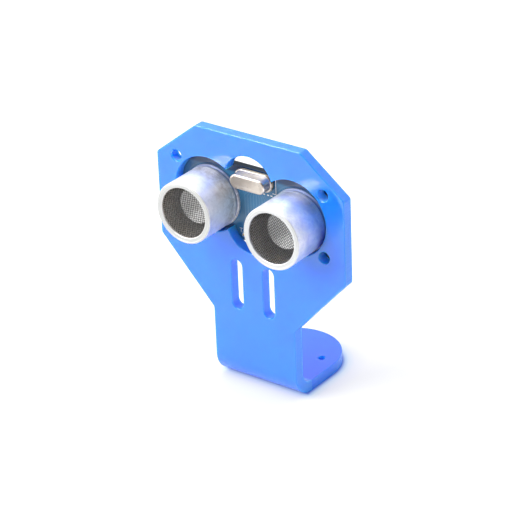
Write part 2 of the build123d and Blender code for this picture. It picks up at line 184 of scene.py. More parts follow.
class Material(Graph):
    """A Principled material whose coordinates are the object's, in millimetres."""

    INPUTS = {
        "colour": "Base Color", "rough": "Roughness", "metal": "Metallic", "ior": "IOR",
        "normal": "Normal", "spec": "Specular IOR Level", "sss": "Subsurface Weight",
        "sss_scale": "Subsurface Scale", "sss_radius": "Subsurface Radius",
        "glow": "Emission Color", "glow_strength": "Emission Strength",
    }

    def __init__(self, name):
        self.material = bpy.data.materials.new(name)
        self.material.use_nodes = True
        super().__init__(self.material.node_tree)
        metres = self.node("ShaderNodeTexCoord", output="Object")
        self.place = self.node("ShaderNodeVectorMath", {0: metres, "Scale": 1000.0},
                               operation="SCALE")

    def normals(self):
        return self.node("ShaderNodeNewGeometry", output="Normal").split()

    def noise(self, scale, detail=3.0, rough=0.5, distortion=0.0, at=None):
        """at: three coordinates, to stretch the noise"""
        vector = self.place
        if at is not None:
            vector = self.node("ShaderNodeCombineXYZ", dict(enumerate(at)))
        inputs = {"Vector": vector, "Scale": scale, "Detail": detail, "Roughness": rough,
                  "Distortion": distortion}
        return self.node("ShaderNodeTexNoise", inputs, output="Fac")

    def bump(self, height, strength, distance):
        return self.node("ShaderNodeBump", {"Strength": strength, "Distance": distance * MM,
                                            "Height": height})

    def finish(self, **looks):
        bsdf = self.tree.nodes["Principled BSDF"]
        for key, value in looks.items():
            self.feed(bsdf.inputs[self.INPUTS[key]], value)
        return self.material


def hypot(first_leg, second_leg):
    return (first_leg * first_leg + second_leg * second_leg).math("SQRT")


def from_axis(x, z):
    """Offsets from the nearer transducer's axis, mirrored in x, and the radius about it."""
    across = abs(x) - TRANSDUCER_X
    above = z - AXIS_Z
    return across, above, hypot(across, above)


# ============================================================ materials
def acrylic():
    """Glossy blue sheet; its cut walls are a little rougher, with fine striations."""
    fold_z, fold_y = 6.5, -10.5       # upright plate above the one, foot behind the other
    hole_x, hole_z, hole_dz = 21.6, 50.5, 8.15      # small holes of the upright plate
    foot_hole_x = 8.0                               # small holes of the foot, at y = 0
    mat = Material("acrylic_blue")
    x, y, z = mat.place.split()
    normal_x, normal_y, normal_z = mat.normals()
    upright = z.math("GREATER_THAN", fold_z)
    foot = y.math("GREATER_THAN", fold_y) * z.math("LESS_THAN", fold_z)
    bend = 1.0 - upright - foot
    off_x = mat.node("ShaderNodeMath", {0: 1.0, 1: normal_x * normal_x},
                     operation="SUBTRACT", use_clamp=True).math("SQRT")
    broad = upright * abs(normal_y) + foot * abs(normal_z) + bend * off_x
    cut = broad.span(over=(0.55, 0.25), smooth=True)
    # striations run through the sheet's thickness: along y in the plate, along z in the foot
    stria_upright = mat.noise(scale=1.0, detail=2.0, rough=0.6, at=(x * 7.0, y * 0.25, z * 7.0))
    stria_foot = mat.noise(scale=1.0, detail=2.0, rough=0.6, at=(x * 7.0, y * 7.0, z * 0.25))
    stria = foot * stria_foot + (1.0 - foot) * stria_upright
    haze = mat.noise(scale=0.09, detail=4.0, rough=0.55)
    blue_face = haze.span(over=(0.35, 0.65)).mix(low=(0.000, 0.200, 1.0),
                                                 high=(0.000, 0.222, 1.0))
    blue_cut = stria.span().mix(low=(0.035, 0.275, 0.90), high=(0.055, 0.325, 0.96))
    colour = cut.mix(blue_face, blue_cut)
    # painted shade: cut walls that face up are painted a deeper blue, as if less lit from above
    colour = colour.toward(colour=(0.020, 0.190, 0.72),
                           by=cut * normal_z.span(over=(0.2, 0.9), to=(0.0, 0.55)))
    # painted shade: the foot is painted a deeper blue than the upright plate, its broad faces
    # fully and its cut walls in part, as if less lit
    colour = colour.toward(colour=(0.000, 0.135, 1.0),
                           by=foot * cut.span(over=(0.0, 1.0), to=(1.0, 0.45)))
    # the underside of the bend is deeper in colour, it looks into its own contact shadow
    belly = bend * normal_z.span(over=(-0.45, -0.72), smooth=True)
    colour = colour.toward(colour=(0.010, 0.150, 0.80), by=belly)
    # small holes look lit: light runs along the sheet and leaves through their walls
    from_hole = hypot(abs(x) - hole_x, abs(z - hole_z) - hole_dz)
    from_foot_hole = hypot(abs(x) - foot_hole_x, y)
    near_hole = from_hole.span(over=(1.75, 1.65))
    near_foot_hole = foot * from_foot_hole.span(over=(1.1, 1.0))
    colour = colour.toward(colour=(0.110, 0.430, 0.99),
                           by=cut * near_hole.math("MAXIMUM", near_foot_hole))
    scuff = mat.noise(scale=1.4, detail=6.0, rough=0.7, distortion=0.6)
    waves = mat.noise(scale=0.35, detail=2.0, rough=0.4)
    height = waves * 0.5 + cut * stria * 0.9
    return mat.finish(
        colour=colour,
        rough=scuff.span(over=(0.45, 0.75), to=(0.04, 0.08)) + cut * 0.16,
        ior=cut.span(over=(0.0, 1.0), to=(1.85, 1.60)),
        spec=belly.span(over=(0.0, 1.0), to=(0.5, 0.06)),
        normal=mat.bump(height, strength=0.16, distance=0.03),
        sss=1.0, sss_scale=0.004, sss_radius=(0.15, 0.6, 1.0))


def drawn_aluminium():
    """Satin metal of the cans: faint lathe rings and cloudy patches; a painted reflection makes
    it cooler and bluer towards +x.
    """
    mat = Material("drawn_aluminium")
    x, y, z = mat.place.split()
    across, above, radius = from_axis(x, z)
    angle = above.math("ARCTAN2", across)
    cloud = mat.noise(scale=0.26, detail=4.0, rough=0.6, distortion=0.7)
    mottle = mat.noise(scale=0.9, detail=4.0, rough=0.65, distortion=0.5)
    rings = mat.noise(scale=1.0, detail=3.0, rough=0.6, at=(radius * 5.0, y * 5.0, angle * 0.5))
    streak = mat.noise(scale=1.0, detail=3.0, rough=0.6,
                       at=(angle * 14.0, y * 0.35, radius * 1.0))
    # painted reflection: colours run cooler and bluer towards +x, where the can mirrors the blue
    # plate
    cool = x.span(over=(-6.0, 6.0))
    colour = cloud.span(over=(0.36, 0.64), smooth=True).mix(
        low=cool.mix(low=(0.95, 0.90, 0.86), high=(0.82, 0.82, 0.86)),
        high=cool.mix(low=(1.0, 0.98, 0.96), high=(0.98, 0.98, 1.0)))
    colour = colour.toward(colour=cool.mix(low=(0.76, 0.73, 0.71), high=(0.68, 0.70, 0.86)),
                           by=mottle.span(over=(0.40, 0.66), to=(0.0, 0.60)))
    blotch = mat.noise(scale=0.55, detail=4.0, rough=0.65, distortion=0.8)
    stain = (y.span(over=(FRONT - 8.0, FRONT - 3.0))
             * blotch.span(over=(0.44, 0.62), to=(0.0, 0.75)))
    colour = colour.toward(colour=(0.60, 0.54, 0.45),
                           by=stain * cool.span(over=(0.0, 1.0), to=(1.0, 0.25)))
    colour = colour.toward(colour=(0.90, 0.88, 0.88),
                           by=streak.span(over=(0.50, 0.72), to=(0.0, 0.35)))
    # painted shade: the rim's front face is painted darker than the wall, to hold down the front
    # light on it; the lathe rings in it are the metal's own
    rim = (mat.normals()[1].span(over=(-0.75, -0.95))
           * y.span(over=(FRONT - 8.0, FRONT - 11.0)))
    rim_colour = rings.span(over=(0.35, 0.65)).mix(
        low=cool.mix(low=(0.49, 0.50, 0.49), high=(0.58, 0.59, 0.59)),
        high=cool.mix(low=(0.61, 0.62, 0.61), high=(0.71, 0.72, 0.72)))
    colour = colour.toward(rim_colour, by=rim)
    # painted shade: the neck between flange and wall is painted dark blue-grey, then the flange's
    # upper part is painted darker and bluer, shaded and mirroring the blue plate
    groove = (y.span(over=(FRONT - 0.54, FRONT - 0.60))
              * y.span(over=(FRONT - 1.50, FRONT - 1.25)))
    colour = colour.toward(colour=(0.26, 0.31, 0.44), by=groove * 0.8)
    flange_top_painted_shade = (y.span(over=(FRONT - 0.60, FRONT - 0.54))
              * above.span(over=(-1.0, 5.0), to=(0.0, 0.8)))
    colour = colour.toward(colour=(0.30, 0.36, 0.52), by=flange_top_painted_shade)
    height = rings * 0.5 + (mat.noise(scale=9.0, detail=2.0) * 0.3 + mottle * 0.6)
    return mat.finish(colour=colour,
                      rough=cloud.span(to=(0.36, 0.48)) + mottle.span(to=(0.0, 0.08)),
                      metal=x.span(over=(-6.0, 6.0), to=(0.70, 0.90)),
                      normal=mat.bump(height, strength=0.22, distance=0.04))


def screen_wire():
    mat = Material("screen_wire")
    tone = mat.noise(scale=1.3)
    grain = mat.noise(scale=14.0, detail=2.0)
    return mat.finish(colour=tone.tones(dark=(0.078, 0.076, 0.076), light=(0.145, 0.143, 0.141)),
                      rough=tone.span(to=(0.42, 0.55)), metal=0.55,
                      normal=mat.bump(grain, strength=0.2, distance=0.01))


def spun_aluminium():
    mat = Material("spun_aluminium")
    y = mat.place.split()[1]
    turning = mat.noise(scale=1.0, detail=2.0, rough=0.6, at=(0.0, y * 9.0, 0.0))
    tone = mat.noise(scale=0.8).span()
    return mat.finish(colour=tone.mix(low=(0.93, 0.93, 0.93), high=(0.98, 0.98, 0.97)),
                      rough=turning.span(to=(0.50, 0.60)), metal=0.3,
                      normal=mat.bump(turning, strength=0.3, distance=0.02))


def brass():
    mat = Material("brass")
    stain = mat.noise(scale=0.7, detail=4.0, rough=0.6)
    colour = stain.ramp(stops=[(0.3, (0.62, 0.40, 0.12)), (0.55, (0.78, 0.55, 0.22)),
                               (0.75, (0.83, 0.62, 0.30))])
    return mat.finish(colour=colour, rough=stain.span(to=(0.22, 0.38)), metal=1.0,
                      normal=mat.bump(mat.noise(scale=5.0), strength=0.15, distance=0.01))


def piezo_ceramic():
    """Ceramic with a thin silvered face."""
    mat = Material("piezo_ceramic")
    x, y, z = mat.place.split()
    silver = from_axis(x, z)[2].span(over=(2.72, 2.66))
    grain = mat.noise(scale=4.0, detail=4.0, rough=0.6)
    ceramic = grain.tones(dark=(0.60, 0.53, 0.42), light=(0.72, 0.66, 0.55))
    return mat.finish(colour=ceramic.toward(colour=(0.86, 0.85, 0.82), by=silver),
                      rough=grain.span(to=(0.35, 0.5)), metal=silver * 0.8,
                      normal=mat.bump(grain, strength=0.2, distance=0.01))


def silicone():
    mat = Material("silicone_ring")
    grain = mat.noise(scale=3.0)
    return mat.finish(colour=grain.tones(dark=(0.62, 0.62, 0.60), light=(0.72, 0.72, 0.70)),
                      rough=0.6, sss=0.05, sss_scale=0.001,
                      normal=mat.bump(grain, strength=0.2, distance=0.03))


def plastic(name, dark, light, rough, grain=5.0, strength=0.2, depth=0.02):
    """rough: lowest and highest roughness; grain: scale of the fine bump"""
    mat = Material(name)
    low = mat.noise(scale=0.9)
    fine = mat.noise(scale=grain, rough=0.6)
    tone = low * 0.6 + fine * 0.4
    return mat.finish(colour=tone.tones(dark, light, over=(0.35, 0.65)),
                      rough=fine.span(to=rough), normal=mat.bump(fine, strength, depth))


def metal(name, dark, light, rough, scale=2.5, strength=0.2, depth=0.015):
    mat = Material(name)
    low = mat.noise(scale=scale, rough=0.55)
    fine = mat.noise(scale=scale * 5, detail=2.0)
    return mat.finish(colour=low.tones(dark, light), rough=fine.span(to=rough), metal=1.0,
                      normal=mat.bump(low + fine * 0.4, strength, depth))


def solder():
    """Bright, slightly wavy."""
    mat = Material("solder")
    wave = mat.noise(scale=1.8)
    frost = mat.noise(scale=9.0, rough=0.6)
    return mat.finish(colour=wave.tones(dark=(0.68, 0.69, 0.70), light=(0.86, 0.87, 0.88)),
                      metal=1.0, rough=frost.span(over=(0.35, 0.7), to=(0.14, 0.34)),
                      normal=mat.bump(wave + frost * 0.15, strength=0.35, distance=0.06))


def nickel_silver():
    """Warm drawn metal of the crystal case."""
    mat = Material("nickel_silver")
    x, y, z = mat.place.split()
    drawn = mat.noise(scale=1.0, rough=0.6, at=(x * 1.2, y * 0.8, z * 9.0))
    stain = mat.noise(scale=0.55).span(over=(0.35, 0.7))
    return mat.finish(colour=stain.mix(low=(0.58, 0.52, 0.46), high=(0.71, 0.65, 0.59)),
                      rough=drawn.span(to=(0.26, 0.40)), metal=0.95,
                      normal=mat.bump(drawn, strength=0.15, distance=0.02))


def board_material(name, lift):
    """Slate-blue solder mask, bare laminate on the cut edges. lift: brightens the mask"""
    def lifted(red, green, blue):
        return red + lift, green + lift * 1.6, blue + lift * 2.2

    mat = Material(name)
    x, y, z = mat.place.split()
    normal_y = mat.normals()[1]
    edge = abs(normal_y).span(over=(0.6, 0.4))
    weave = (x * 12.0).math("SINE") * (z * 12.0).math("SINE")
    mask = mat.noise(scale=0.25).span().mix(low=lifted(0.034, 0.140, 0.270),
                                            high=lifted(0.044, 0.170, 0.320))
    # painted shade: a strip of the front face under the bracket's lip is painted darker, where
    # the plate shades it
    under = (normal_y.span(over=(-0.5, -0.8), to=(0.0, 0.85))
             * z.span(over=(AXIS_Z + 7.5, AXIS_Z + 8.4), smooth=True))
    mask = mask.toward(colour=(0.010 + lift, 0.032 + lift, 0.100 + lift), by=under)
    layers = mat.noise(scale=1.0, detail=2.0, at=(x * 1.5, y * 9.0, z * 1.5))
    laminate = layers.tones(dark=(0.010, 0.018, 0.028), light=(0.024, 0.036, 0.050))
    height = weave * 0.25 + mat.noise(scale=2.0)
    return mat.finish(colour=mask.toward(laminate, by=edge),
                      rough=mat.noise(scale=3.0).span(to=(0.16, 0.26)) + edge * 0.4,
                      ior=1.55, spec=edge.span(over=(0.0, 1.0), to=(0.5, 0.12)),
                      normal=mat.bump(height, strength=0.12, distance=0.02))


ACRYLIC = acrylic()
CAN = drawn_aluminium()
SCREEN = screen_wire()
CONE = spun_aluminium()
BRASS = brass()
PIEZO = piezo_ceramic()
SOFT = silicone()
BASE = plastic("base_epoxy", dark=(0.012, 0.012, 0.014), light=(0.030, 0.030, 0.033),
               rough=(0.32, 0.5))
PIN = metal("tinned_pin", dark=(0.62, 0.61, 0.58), light=(0.80, 0.79, 0.76), rough=(0.25, 0.4))
WIRE = metal("lead_wire", dark=(0.60, 0.44, 0.30), light=(0.82, 0.72, 0.60), rough=(0.25, 0.4))
CRYSTAL_BASE = metal("crystal_base_plate", dark=(0.26, 0.23, 0.19), light=(0.40, 0.36, 0.30),
                     rough=(0.3, 0.45))
QUARTZ = plastic("quartz_blank", dark=(0.70, 0.72, 0.72), light=(0.80, 0.82, 0.82),
                 rough=(0.05, 0.12), strength=0.05)
CHIP = plastic("moulded_epoxy", dark=(0.010, 0.010, 0.011), light=(0.026, 0.026, 0.028),
               rough=(0.42, 0.62), grain=16.0, strength=0.35)
LEAD = metal("tinned_lead", dark=(0.64, 0.64, 0.63), light=(0.82, 0.82, 0.81),
             rough=(0.24, 0.40), scale=4.0)
RESISTOR_TOP = plastic("resistor_glaze", dark=(0.008, 0.008, 0.010), light=(0.020, 0.020, 0.024),
                       rough=(0.14, 0.24), grain=8.0, strength=0.1, depth=0.01)
RESISTOR_CORE = plastic("alumina", dark=(0.72, 0.72, 0.70), light=(0.84, 0.84, 0.82),
                        rough=(0.45, 0.6), grain=9.0)
CAPACITOR = plastic("capacitor_ceramic", dark=(0.36, 0.22, 0.11), light=(0.46, 0.30, 0.17),
                    rough=(0.35, 0.5), grain=9.0)
HEADER = plastic("header_nylon", dark=(0.012, 0.012, 0.013), light=(0.026, 0.026, 0.028),
                 rough=(0.35, 0.5), grain=7.0, strength=0.25)
GOLD = metal("gold_flash", dark=(0.80, 0.55, 0.20), light=(0.92, 0.70, 0.34),
             rough=(0.16, 0.28), scale=3.0, strength=0.12)
PRINT = plastic("silkscreen_ink", dark=(0.74, 0.76, 0.76), light=(0.86, 0.87, 0.87),
                rough=(0.45, 0.6), grain=12.0, depth=0.01)
SOLDER = solder()
CRYSTAL = nickel_silver()
BOARD = board_material("solder_mask", lift=0.0)
TRACE = board_material("solder_mask_on_copper", lift=0.022)


# ============================================================ mesh building
class Build:
    """Gathers vertices and faces, then makes one object of them."""

    def __init__(self):
        self.verts = []
        self.faces = []
        self.slots = []

    def add(self, verts, faces, place=None, material=0):
        """place: turns a vertex's local coordinates into (x, y, z)"""
        start = len(self.verts)
        self.verts.extend(place(*v) for v in verts) if place else self.verts.extend(verts)
        self.faces.extend(tuple(i + start for i in face) for face in faces)
        self.slots.extend([material] * len(faces))
        return self

    def made(self, name, slot, *materials, sharp=32.0, replaces=None):
        mesh = bpy.data.meshes.new(name)
        mesh.from_pydata([(x * MM, y * MM, z * MM) for x, y, z in self.verts], [], self.faces)
        for material in materials:
            mesh.materials.append(material)
        mesh.polygons.foreach_set("material_index", self.slots)
        work = bmesh.new()
        work.from_mesh(mesh)
        bmesh.ops.recalc_face_normals(work, faces=work.faces)
        work.to_mesh(mesh)
        work.free()
        mesh.shade_smooth()
        mesh.set_sharp_from_angle(angle=math.radians(sharp))
        mesh.update()
        made = bpy.data.objects.new(name, mesh)
        bpy.context.scene.collection.objects.link(made)
        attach(made, MODULE)
        if replaces:
            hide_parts(replaces)
        return made


def rounded(corners, radius=0.0, steps=4, closed=True):
    """Rounds a polyline's corners (a, b) by radius, or (a, b, own radius) by their own."""
    points = [Vector(corner[:2]) for corner in corners]
    count = len(corners)
    out = []
    for i, corner in enumerate(corners):
        own = corner[2] if len(corner) > 2 else radius
        plain = tuple(corner[:2])
        if own <= 0 or (not closed and i in (0, count - 1)):
            out.append(plain)
            continue
        before = points[i - 1] - points[i]
        after = points[(i + 1) % count] - points[i]
        shortest = min(before.length * 0.49, after.length * 0.49)
        before.normalize()
        after.normalize()
        half = math.acos(max(-1.0, min(1.0, before.dot(after)))) / 2
        if half > math.radians(89):
            out.append(plain)
            continue
        reach = min(own / math.tan(half), shortest)
        arc = reach * math.tan(half)
        centre = points[i] + (before + after).normalized() * (arc / math.sin(half))
        start = points[i] + before * reach - centre
        end = points[i] + after * reach - centre
        start_angle = math.atan2(start.y, start.x)
        turn = math.atan2(end.y, end.x) - start_angle
        turn = (turn + math.pi) % (2 * math.pi) - math.pi
        for k in range(steps + 1):
            angle = start_angle + turn * k / steps
            out.append((centre.x + arc * math.cos(angle), centre.y + arc * math.sin(angle)))
    return out


def front_at(x, s, z):
    """s forward of the board's front face, z above the transducers' axes"""
    return (x, FRONT - s, AXIS_Z + z)


def back_at(x, s, z):
    """s behind the board's back face"""
    return (x, BACK + s, AXIS_Z + z)


def lathe(profile, place, x, z, segments, wobble=None):
    """Turns a closed (r, s) profile about the axis through (x, z); axis points are shared."""
    verts, rows = [], []
    for r, s in profile:
        if r < 1e-6:
            rows.append([len(verts)] * segments)
            verts.append(place(x, s, z))
            continue
        rows.append(range(len(verts), len(verts) + segments))
        for k in range(segments):
            angle = 2 * math.pi * k / segments
            radius, off = (r, s) if wobble is None else wobble(r, s, angle)
            verts.append(place(x + radius * math.cos(angle), off, z + radius * math.sin(angle)))
    faces = []
    for i, row in enumerate(rows):
        following = rows[(i + 1) % len(rows)]
        for k in range(segments):
            k2 = (k + 1) % segments
            face = tuple(dict.fromkeys((row[k], following[k], following[k2], row[k2])))
            if len(face) >= 3:
                faces.append(face)
    return verts, faces


def loft(rings, start_cap=True, end_cap=True):
    count = len(rings[0])
    verts = [point for ring in rings for point in ring]
    faces = []
    for start in range(0, (len(rings) - 1) * count, count):
        for k in range(count):
            k2 = (k + 1) % count
            faces.append((start + k, start + k2, start + count + k2, start + count + k))
    if start_cap:
        faces.append(tuple(range(count)))
    if end_cap:
        faces.append(tuple(range(len(verts) - count, len(verts))))
    return verts, faces


def prism(outline, depth, bevel, steps):
    """Extruded outline with its edges bevelled, local z from 0 to depth."""
    work = bmesh.new()
    base = work.faces.new([work.verts.new((x, y, 0)) for x, y in outline])
    extruded = bmesh.ops.extrude_face_region(work, geom=[base])["geom"]
    top = [item for item in extruded if isinstance(item, bmesh.types.BMVert)]
    bmesh.ops.translate(work, verts=top, vec=(0, 0, depth))
    bmesh.ops.recalc_face_normals(work, faces=work.faces)
    corners = [edge for edge in work.edges if edge.calc_face_angle(0) > math.radians(25)]
    bmesh.ops.bevel(work, geom=corners, offset=bevel, segments=steps, profile=0.5,
                    affect="EDGES", clamp_overlap=True)
    work.verts.index_update()
    verts = [tuple(vert.co) for vert in work.verts]
    faces = [tuple(vert.index for vert in face.verts) for face in work.faces]
    work.free()
    return verts, faces


def rect(width, height):
    return [(-width / 2, -height / 2), (width / 2, -height / 2),
            (width / 2, height / 2), (-width / 2, height / 2)]


def tube(points, radius, sides):
    """Round tube along a polyline of 3-D points."""
    points = [Vector(point) for point in points]
    rings = []
    for i, point in enumerate(points):
        along = (points[min(i + 1, len(points) - 1)] - points[max(i - 1, 0)]).normalized()
        across = along.cross(Vector((0, 0, 1)))
        if across.length < 1e-3:
            across = along.cross(Vector((1, 0, 0)))
        across.normalize()
        third = along.cross(across)
        ring = []
        for k in range(sides):
            angle = 2 * math.pi * k / sides
            offset = across * math.cos(angle) + third * math.sin(angle)
            ring.append(tuple(point + offset * radius))
        rings.append(ring)
    return loft(rings)


def ribbon(points, width, low, high, place):
    """A flat chamfered line along an (x, z) polyline, from low to high off the board face."""
    points = [Vector(point) for point in points]
    chamfer = min(0.4 * (high - low), width * 0.2)
    last = len(points) - 1
    rings = []
    for i, point in enumerate(points):
        before = (point - points[i - 1] if i > 0 else points[1] - points[0]).normalized()
        after = (points[i + 1] - point).normalized() if i < last else before
        normal = Vector((-before.y, before.x))
        mitre = (normal + Vector((-after.y, after.x))).normalized()
        mitre = mitre / max(0.35, mitre.dot(normal)) * width / 2
        side, other = point + mitre, point - mitre
        middle = (side + other) / 2
        inner = side + (middle - side).normalized() * chamfer
        inner_other = other + (middle - other).normalized() * chamfer
        section = [(side, low), (side, high - chamfer), (inner, high),
                   (inner_other, high), (other, high - chamfer), (other, low)]
        rings.append([place(spot.x, s, spot.y) for spot, s in section])
    return loft(rings)


# ============================================================ CAD nodes shown as they are
AS_THEY_ARE = [                     # node, material, slot
    ("bracket", ACRYLIC, "acrylic"),
    ("circuit_board", BOARD, "board"),
    ("transmitter_support_ring", SOFT, "soft_ring"),
    ("transmitter_wires", WIRE, "lead_wire"),
    ("receiver_support_ring", SOFT, "soft_ring"),
    ("receiver_wires", WIRE, "lead_wire"),
    ("crystal_leads", PIN, "tinned_pin"),
    ("crystal_clips", PIN, "tinned_pin"),
    ("crystal_blank", QUARTZ, "quartz"),
]
for node_name, node_material, node_slot in AS_THEY_ARE:
    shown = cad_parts[node_name]
    shown.data.materials.clear()
    shown.data.materials.append(node_material)


# ============================================================ transducers
# Profiles are (r, s) or (r, s, corner radius).
INNER_INSET = 0.65                  # of the can's inner wall, from its flange radius


def extents(side, piece):
    """Radius of a transducer's CAD piece, then its s at the board end and at the front end."""
    low, high = box_mm(f"{side}_{piece}")
    return (high.x - low.x) / 2, FRONT - high.y, FRONT - low.y


def turned(side, x, name, piece, slot, material, profile, segments, sharp=32.0):
    solid = lathe(profile, front_at, x, 0, segments)
    Build().add(*solid).made(f"{side}_{name}", slot, material, sharp=sharp,
                             replaces=f"{side}_{piece}")


def can_shell(side, x):
    """Case of one sheet: flange, neck, long wall and a rolled front rim with fine grooves."""
    flange, low, high = extents(side, "can")
    length = high - low
    wall, inner, lip = flange - 0.15, flange - INNER_INSET, flange - 1.65
    neck_depth = 0.25
    neck = wall - neck_depth
    swell = []                      # from the neck out to the wall again
    for k in range(1, 7):
        u = k / 6
        swell.append((neck + neck_depth * (3 * u * u - 2 * u ** 3), 0.98 + 0.52 * u))
    corners = [
        (inner, 0.0, 0.02), (flange, 0.0, 0.10), (flange, 0.50, 0.06),
        (neck + 0.06, 0.50, 0.03), (neck, 0.58, 0.03), (neck, 0.90), *swell,
        (wall, 2.05, 0.02), (wall - 0.05, 2.13, 0.03), (wall, 2.21, 0.02),
        (wall, length, 0.42), (wall - 0.42, length, 0.02),
        (wall - 0.50, length - 0.05, 0.03), (wall - 0.58, length, 0.02),
        (lip, length, 0.22), (lip, length - 0.6, 0.12), (inner, length - 0.6, 0.1),
    ]
    turned(side, x, "can_shell", "can", "can_aluminium", CAN, rounded(corners, steps=5),
           segments=192, sharp=40)


def screen(side, x, turn):
    """Plain weave of round wires inside a circle, turned about the axis."""
    pitch = 0.56
    low, high = extents(side, "mesh")[1:]
    middle = (low + high) / 2
    radius = extents(side, "can")[0] - INNER_INSET - 0.06
    wire_radius = min(0.068, (high - low) / 4.02)
    cos_turn, sin_turn = math.cos(turn), math.sin(turn)
    wires = int(radius / pitch)
    build = Build()
    for direction in (1, -1):
        for i in range(-wires, wires + 1):
            offset = i * pitch
            half_length = math.sqrt(max(0.0, radius * radius - offset * offset))
            steps = int(half_length / (pitch / 4))
            if steps < 4:
                continue
            points = []
            for j in range(-steps, steps + 1):
                along = j * pitch / 4
                lift = wire_radius * math.cos(math.pi * along / pitch) * (-1) ** i * direction
                u, v = (along, offset) if direction == 1 else (offset, along)
                points.append(front_at(x + u * cos_turn - v * sin_turn, middle + lift,
                                       u * sin_turn + v * cos_turn))
            build.add(*tube(points, wire_radius, sides=5))
    build.made(f"{side}_screen", "screen", SCREEN, sharp=60, replaces=f"{side}_mesh")


def horn_cone(side, x):
    """Cone with a rolled lip and a flat centre."""
    radius, low, high = extents(side, "cone")
    corners = [(0, low), (1.3, low, 0.25), (radius, high, 0.12), (radius - 0.3, high, 0.12),
               (1.22, low + 0.34, 0.3), (0, low + 0.34)]
    turned(side, x, "horn_cone", "cone", "cone_aluminium", CONE, rounded(corners, steps=5),
           segments=128, sharp=40)


def vibrating_plate(side, x):
    radius, low, high = extents(side, "plate")
    corners = [(0, low), (radius, low, 0.07), (radius, high, 0.07), (0, high)]
    turned(side, x, "vibrating_plate", "plate", "brass_disc", BRASS, rounded(corners, steps=3),
           segments=96)


def piezo_disc(side, x):
    """Disc with an electrode step."""
    radius, low, high = extents(side, "piezo")
    corners = [(0, low), (radius - 0.4, low, 0.01), (radius - 0.42, low + 0.03),
               (radius, low + 0.03, 0.06), (radius, high, 0.05), (0, high)]
    turned(side, x, "piezo_disc", "piezo", "piezo", PIEZO, rounded(corners, steps=3),
           segments=96)


def base_disc(side, x):
    """Disc with a recessed step, a raised rim and a collar round each pin."""
    radius, _, high = extents(side, "base")
    profile = [(0, 0.03), (radius - 0.9, 0.03), (radius - 0.75, 0.0), (radius - 0.05, 0.0),
               (radius, 0.05), (radius, high), (radius - 0.2, high - 0.12),
               (radius - 0.6, high - 0.2), (0, high - 0.2)]
    collar = rounded([(0.34, high - 0.3), (0.62, high - 0.3),
                      (0.62, high - 0.02), (0.34, high - 0.02)], radius=0.05, steps=2)
    build = Build().add(*lathe(profile, front_at, x, 0, 128))
    for pin_x in (-PIN_X, PIN_X):
        build.add(*lathe(collar, front_at, x + pin_x, 0, 32))
    build.made(f"{side}_base_disc", "base_plastic", BASE, sharp=25, replaces=f"{side}_base")


def lead_pins(side, x):
    """Two round pins with rounded ends."""
    low, high = extents(side, "pins")[1:]
    radius = 0.35
    profile = rounded([(0, low), (radius, low, 0.09), (radius, high, 0.09), (0, high)], steps=3)
    build = Build()
    for pin_x in (-PIN_X, PIN_X):
        build.add(*lathe(profile, front_at, x + pin_x, 0, 32))
    build.made(f"{side}_lead_pins", "tinned_pin", PIN, replaces=f"{side}_pins")


pin_places = []                     # (x, z) of the transducers' pins
for side, weave_turn in (("transmitter", 4), ("receiver", 38)):
    can_low, can_high = box_mm(f"{side}_can")
    can_x = (can_low.x + can_high.x) / 2
    can_shell(side, can_x)
    screen(side, can_x, math.radians(weave_turn))
    for make in (horn_cone, vibrating_plate, piezo_disc, base_disc, lead_pins):
        make(side, can_x)
    pin_places += [(can_x - PIN_X, 0.0), (can_x + PIN_X, 0.0)]


# ============================================================ crystal
case_low, case_high = box_mm("crystal_can")
CRYSTAL_Z = (case_low.z + case_high.z) / 2 - AXIS_Z


def stadium(width, height, steps=16):
    radius = height / 2
    centre = width / 2 - radius
    out = []
    for side in (1, -1):
        for k in range(steps + 1):
            angle = -side * math.pi / 2 + math.pi * k / steps
            out.append((side * centre + radius * math.cos(angle), radius * math.sin(angle)))
    return out


def stadium_rings(stations, width, height):
    """stations: (s, growth of the outline)"""
    return [[front_at(x, s, CRYSTAL_Z + z)
             for x, z in stadium(width + 2 * grow, height + 2 * grow)]
            for s, grow in stations]


def crystal_case():
    rim = 0.31
    width = case_high.x - case_low.x - 2 * rim
    height = case_high.z - case_low.z - 2 * rim
    low, high = FRONT - case_high.y, FRONT - case_low.y
    edge = 0.48                     # radius of the rounded front edge
    outside = [(low, rim), (low + 0.20, rim), (low + 0.22, 0.29), (low + 0.26, 0.06),
               (low + 0.34, 0.0), (high - edge, 0.0)]
    for k in range(1, 9):
        angle = math.pi / 2 * k / 8
        outside.append((high - edge + edge * math.sin(angle), -edge * (1 - math.cos(angle))))
    outside += [(high, -0.75), (high - 0.05, -0.95), (high - 0.05, -1.4)]
    inside = [(low, rim), (low, -0.25), (high - 0.5, -0.25), (high - 0.28, -0.45),
              (high - 0.25, -0.9)]
    build = Build()
    for stations in (outside, inside):
        build.add(*loft(stadium_rings(stations, width, height), start_cap=False))
    case = build.made("crystal_case", "crystal_metal", CRYSTAL, sharp=38,
                      replaces="crystal_can")
    # joins the outside to the inside along the rim
    work = bmesh.new()
    work.from_mesh(case.data)
    bmesh.ops.remove_doubles(work, verts=work.verts, dist=1e-7)
    bmesh.ops.recalc_face_normals(work, faces=work.faces)
    work.to_mesh(case.data)
    work.free()


def crystal_foot():
    foot_low, foot_high = box_mm("crystal_base")
    low, high = FRONT - foot_high.y, FRONT - foot_low.y
    stations = [(low + 0.12, -0.6), (low + 0.10, -0.35), (low, -0.12), (low, -0.03),
                (low + 0.04, 0.0), (high - 0.05, 0.0), (high, -0.05), (high, -1.0)]
    rings = stadium_rings(stations, foot_high.x - foot_low.x, foot_high.z - foot_low.z)
    Build().add(*loft(rings)).made("crystal_foot", "crystal_base", CRYSTAL_BASE, sharp=30,
                                   replaces="crystal_base")


crystal_case()
crystal_foot()


# ============================================================ chips on the back
CHIP_PITCH = 1.27
DRAFT = math.tan(math.radians(8))   # slope of the moulded sides


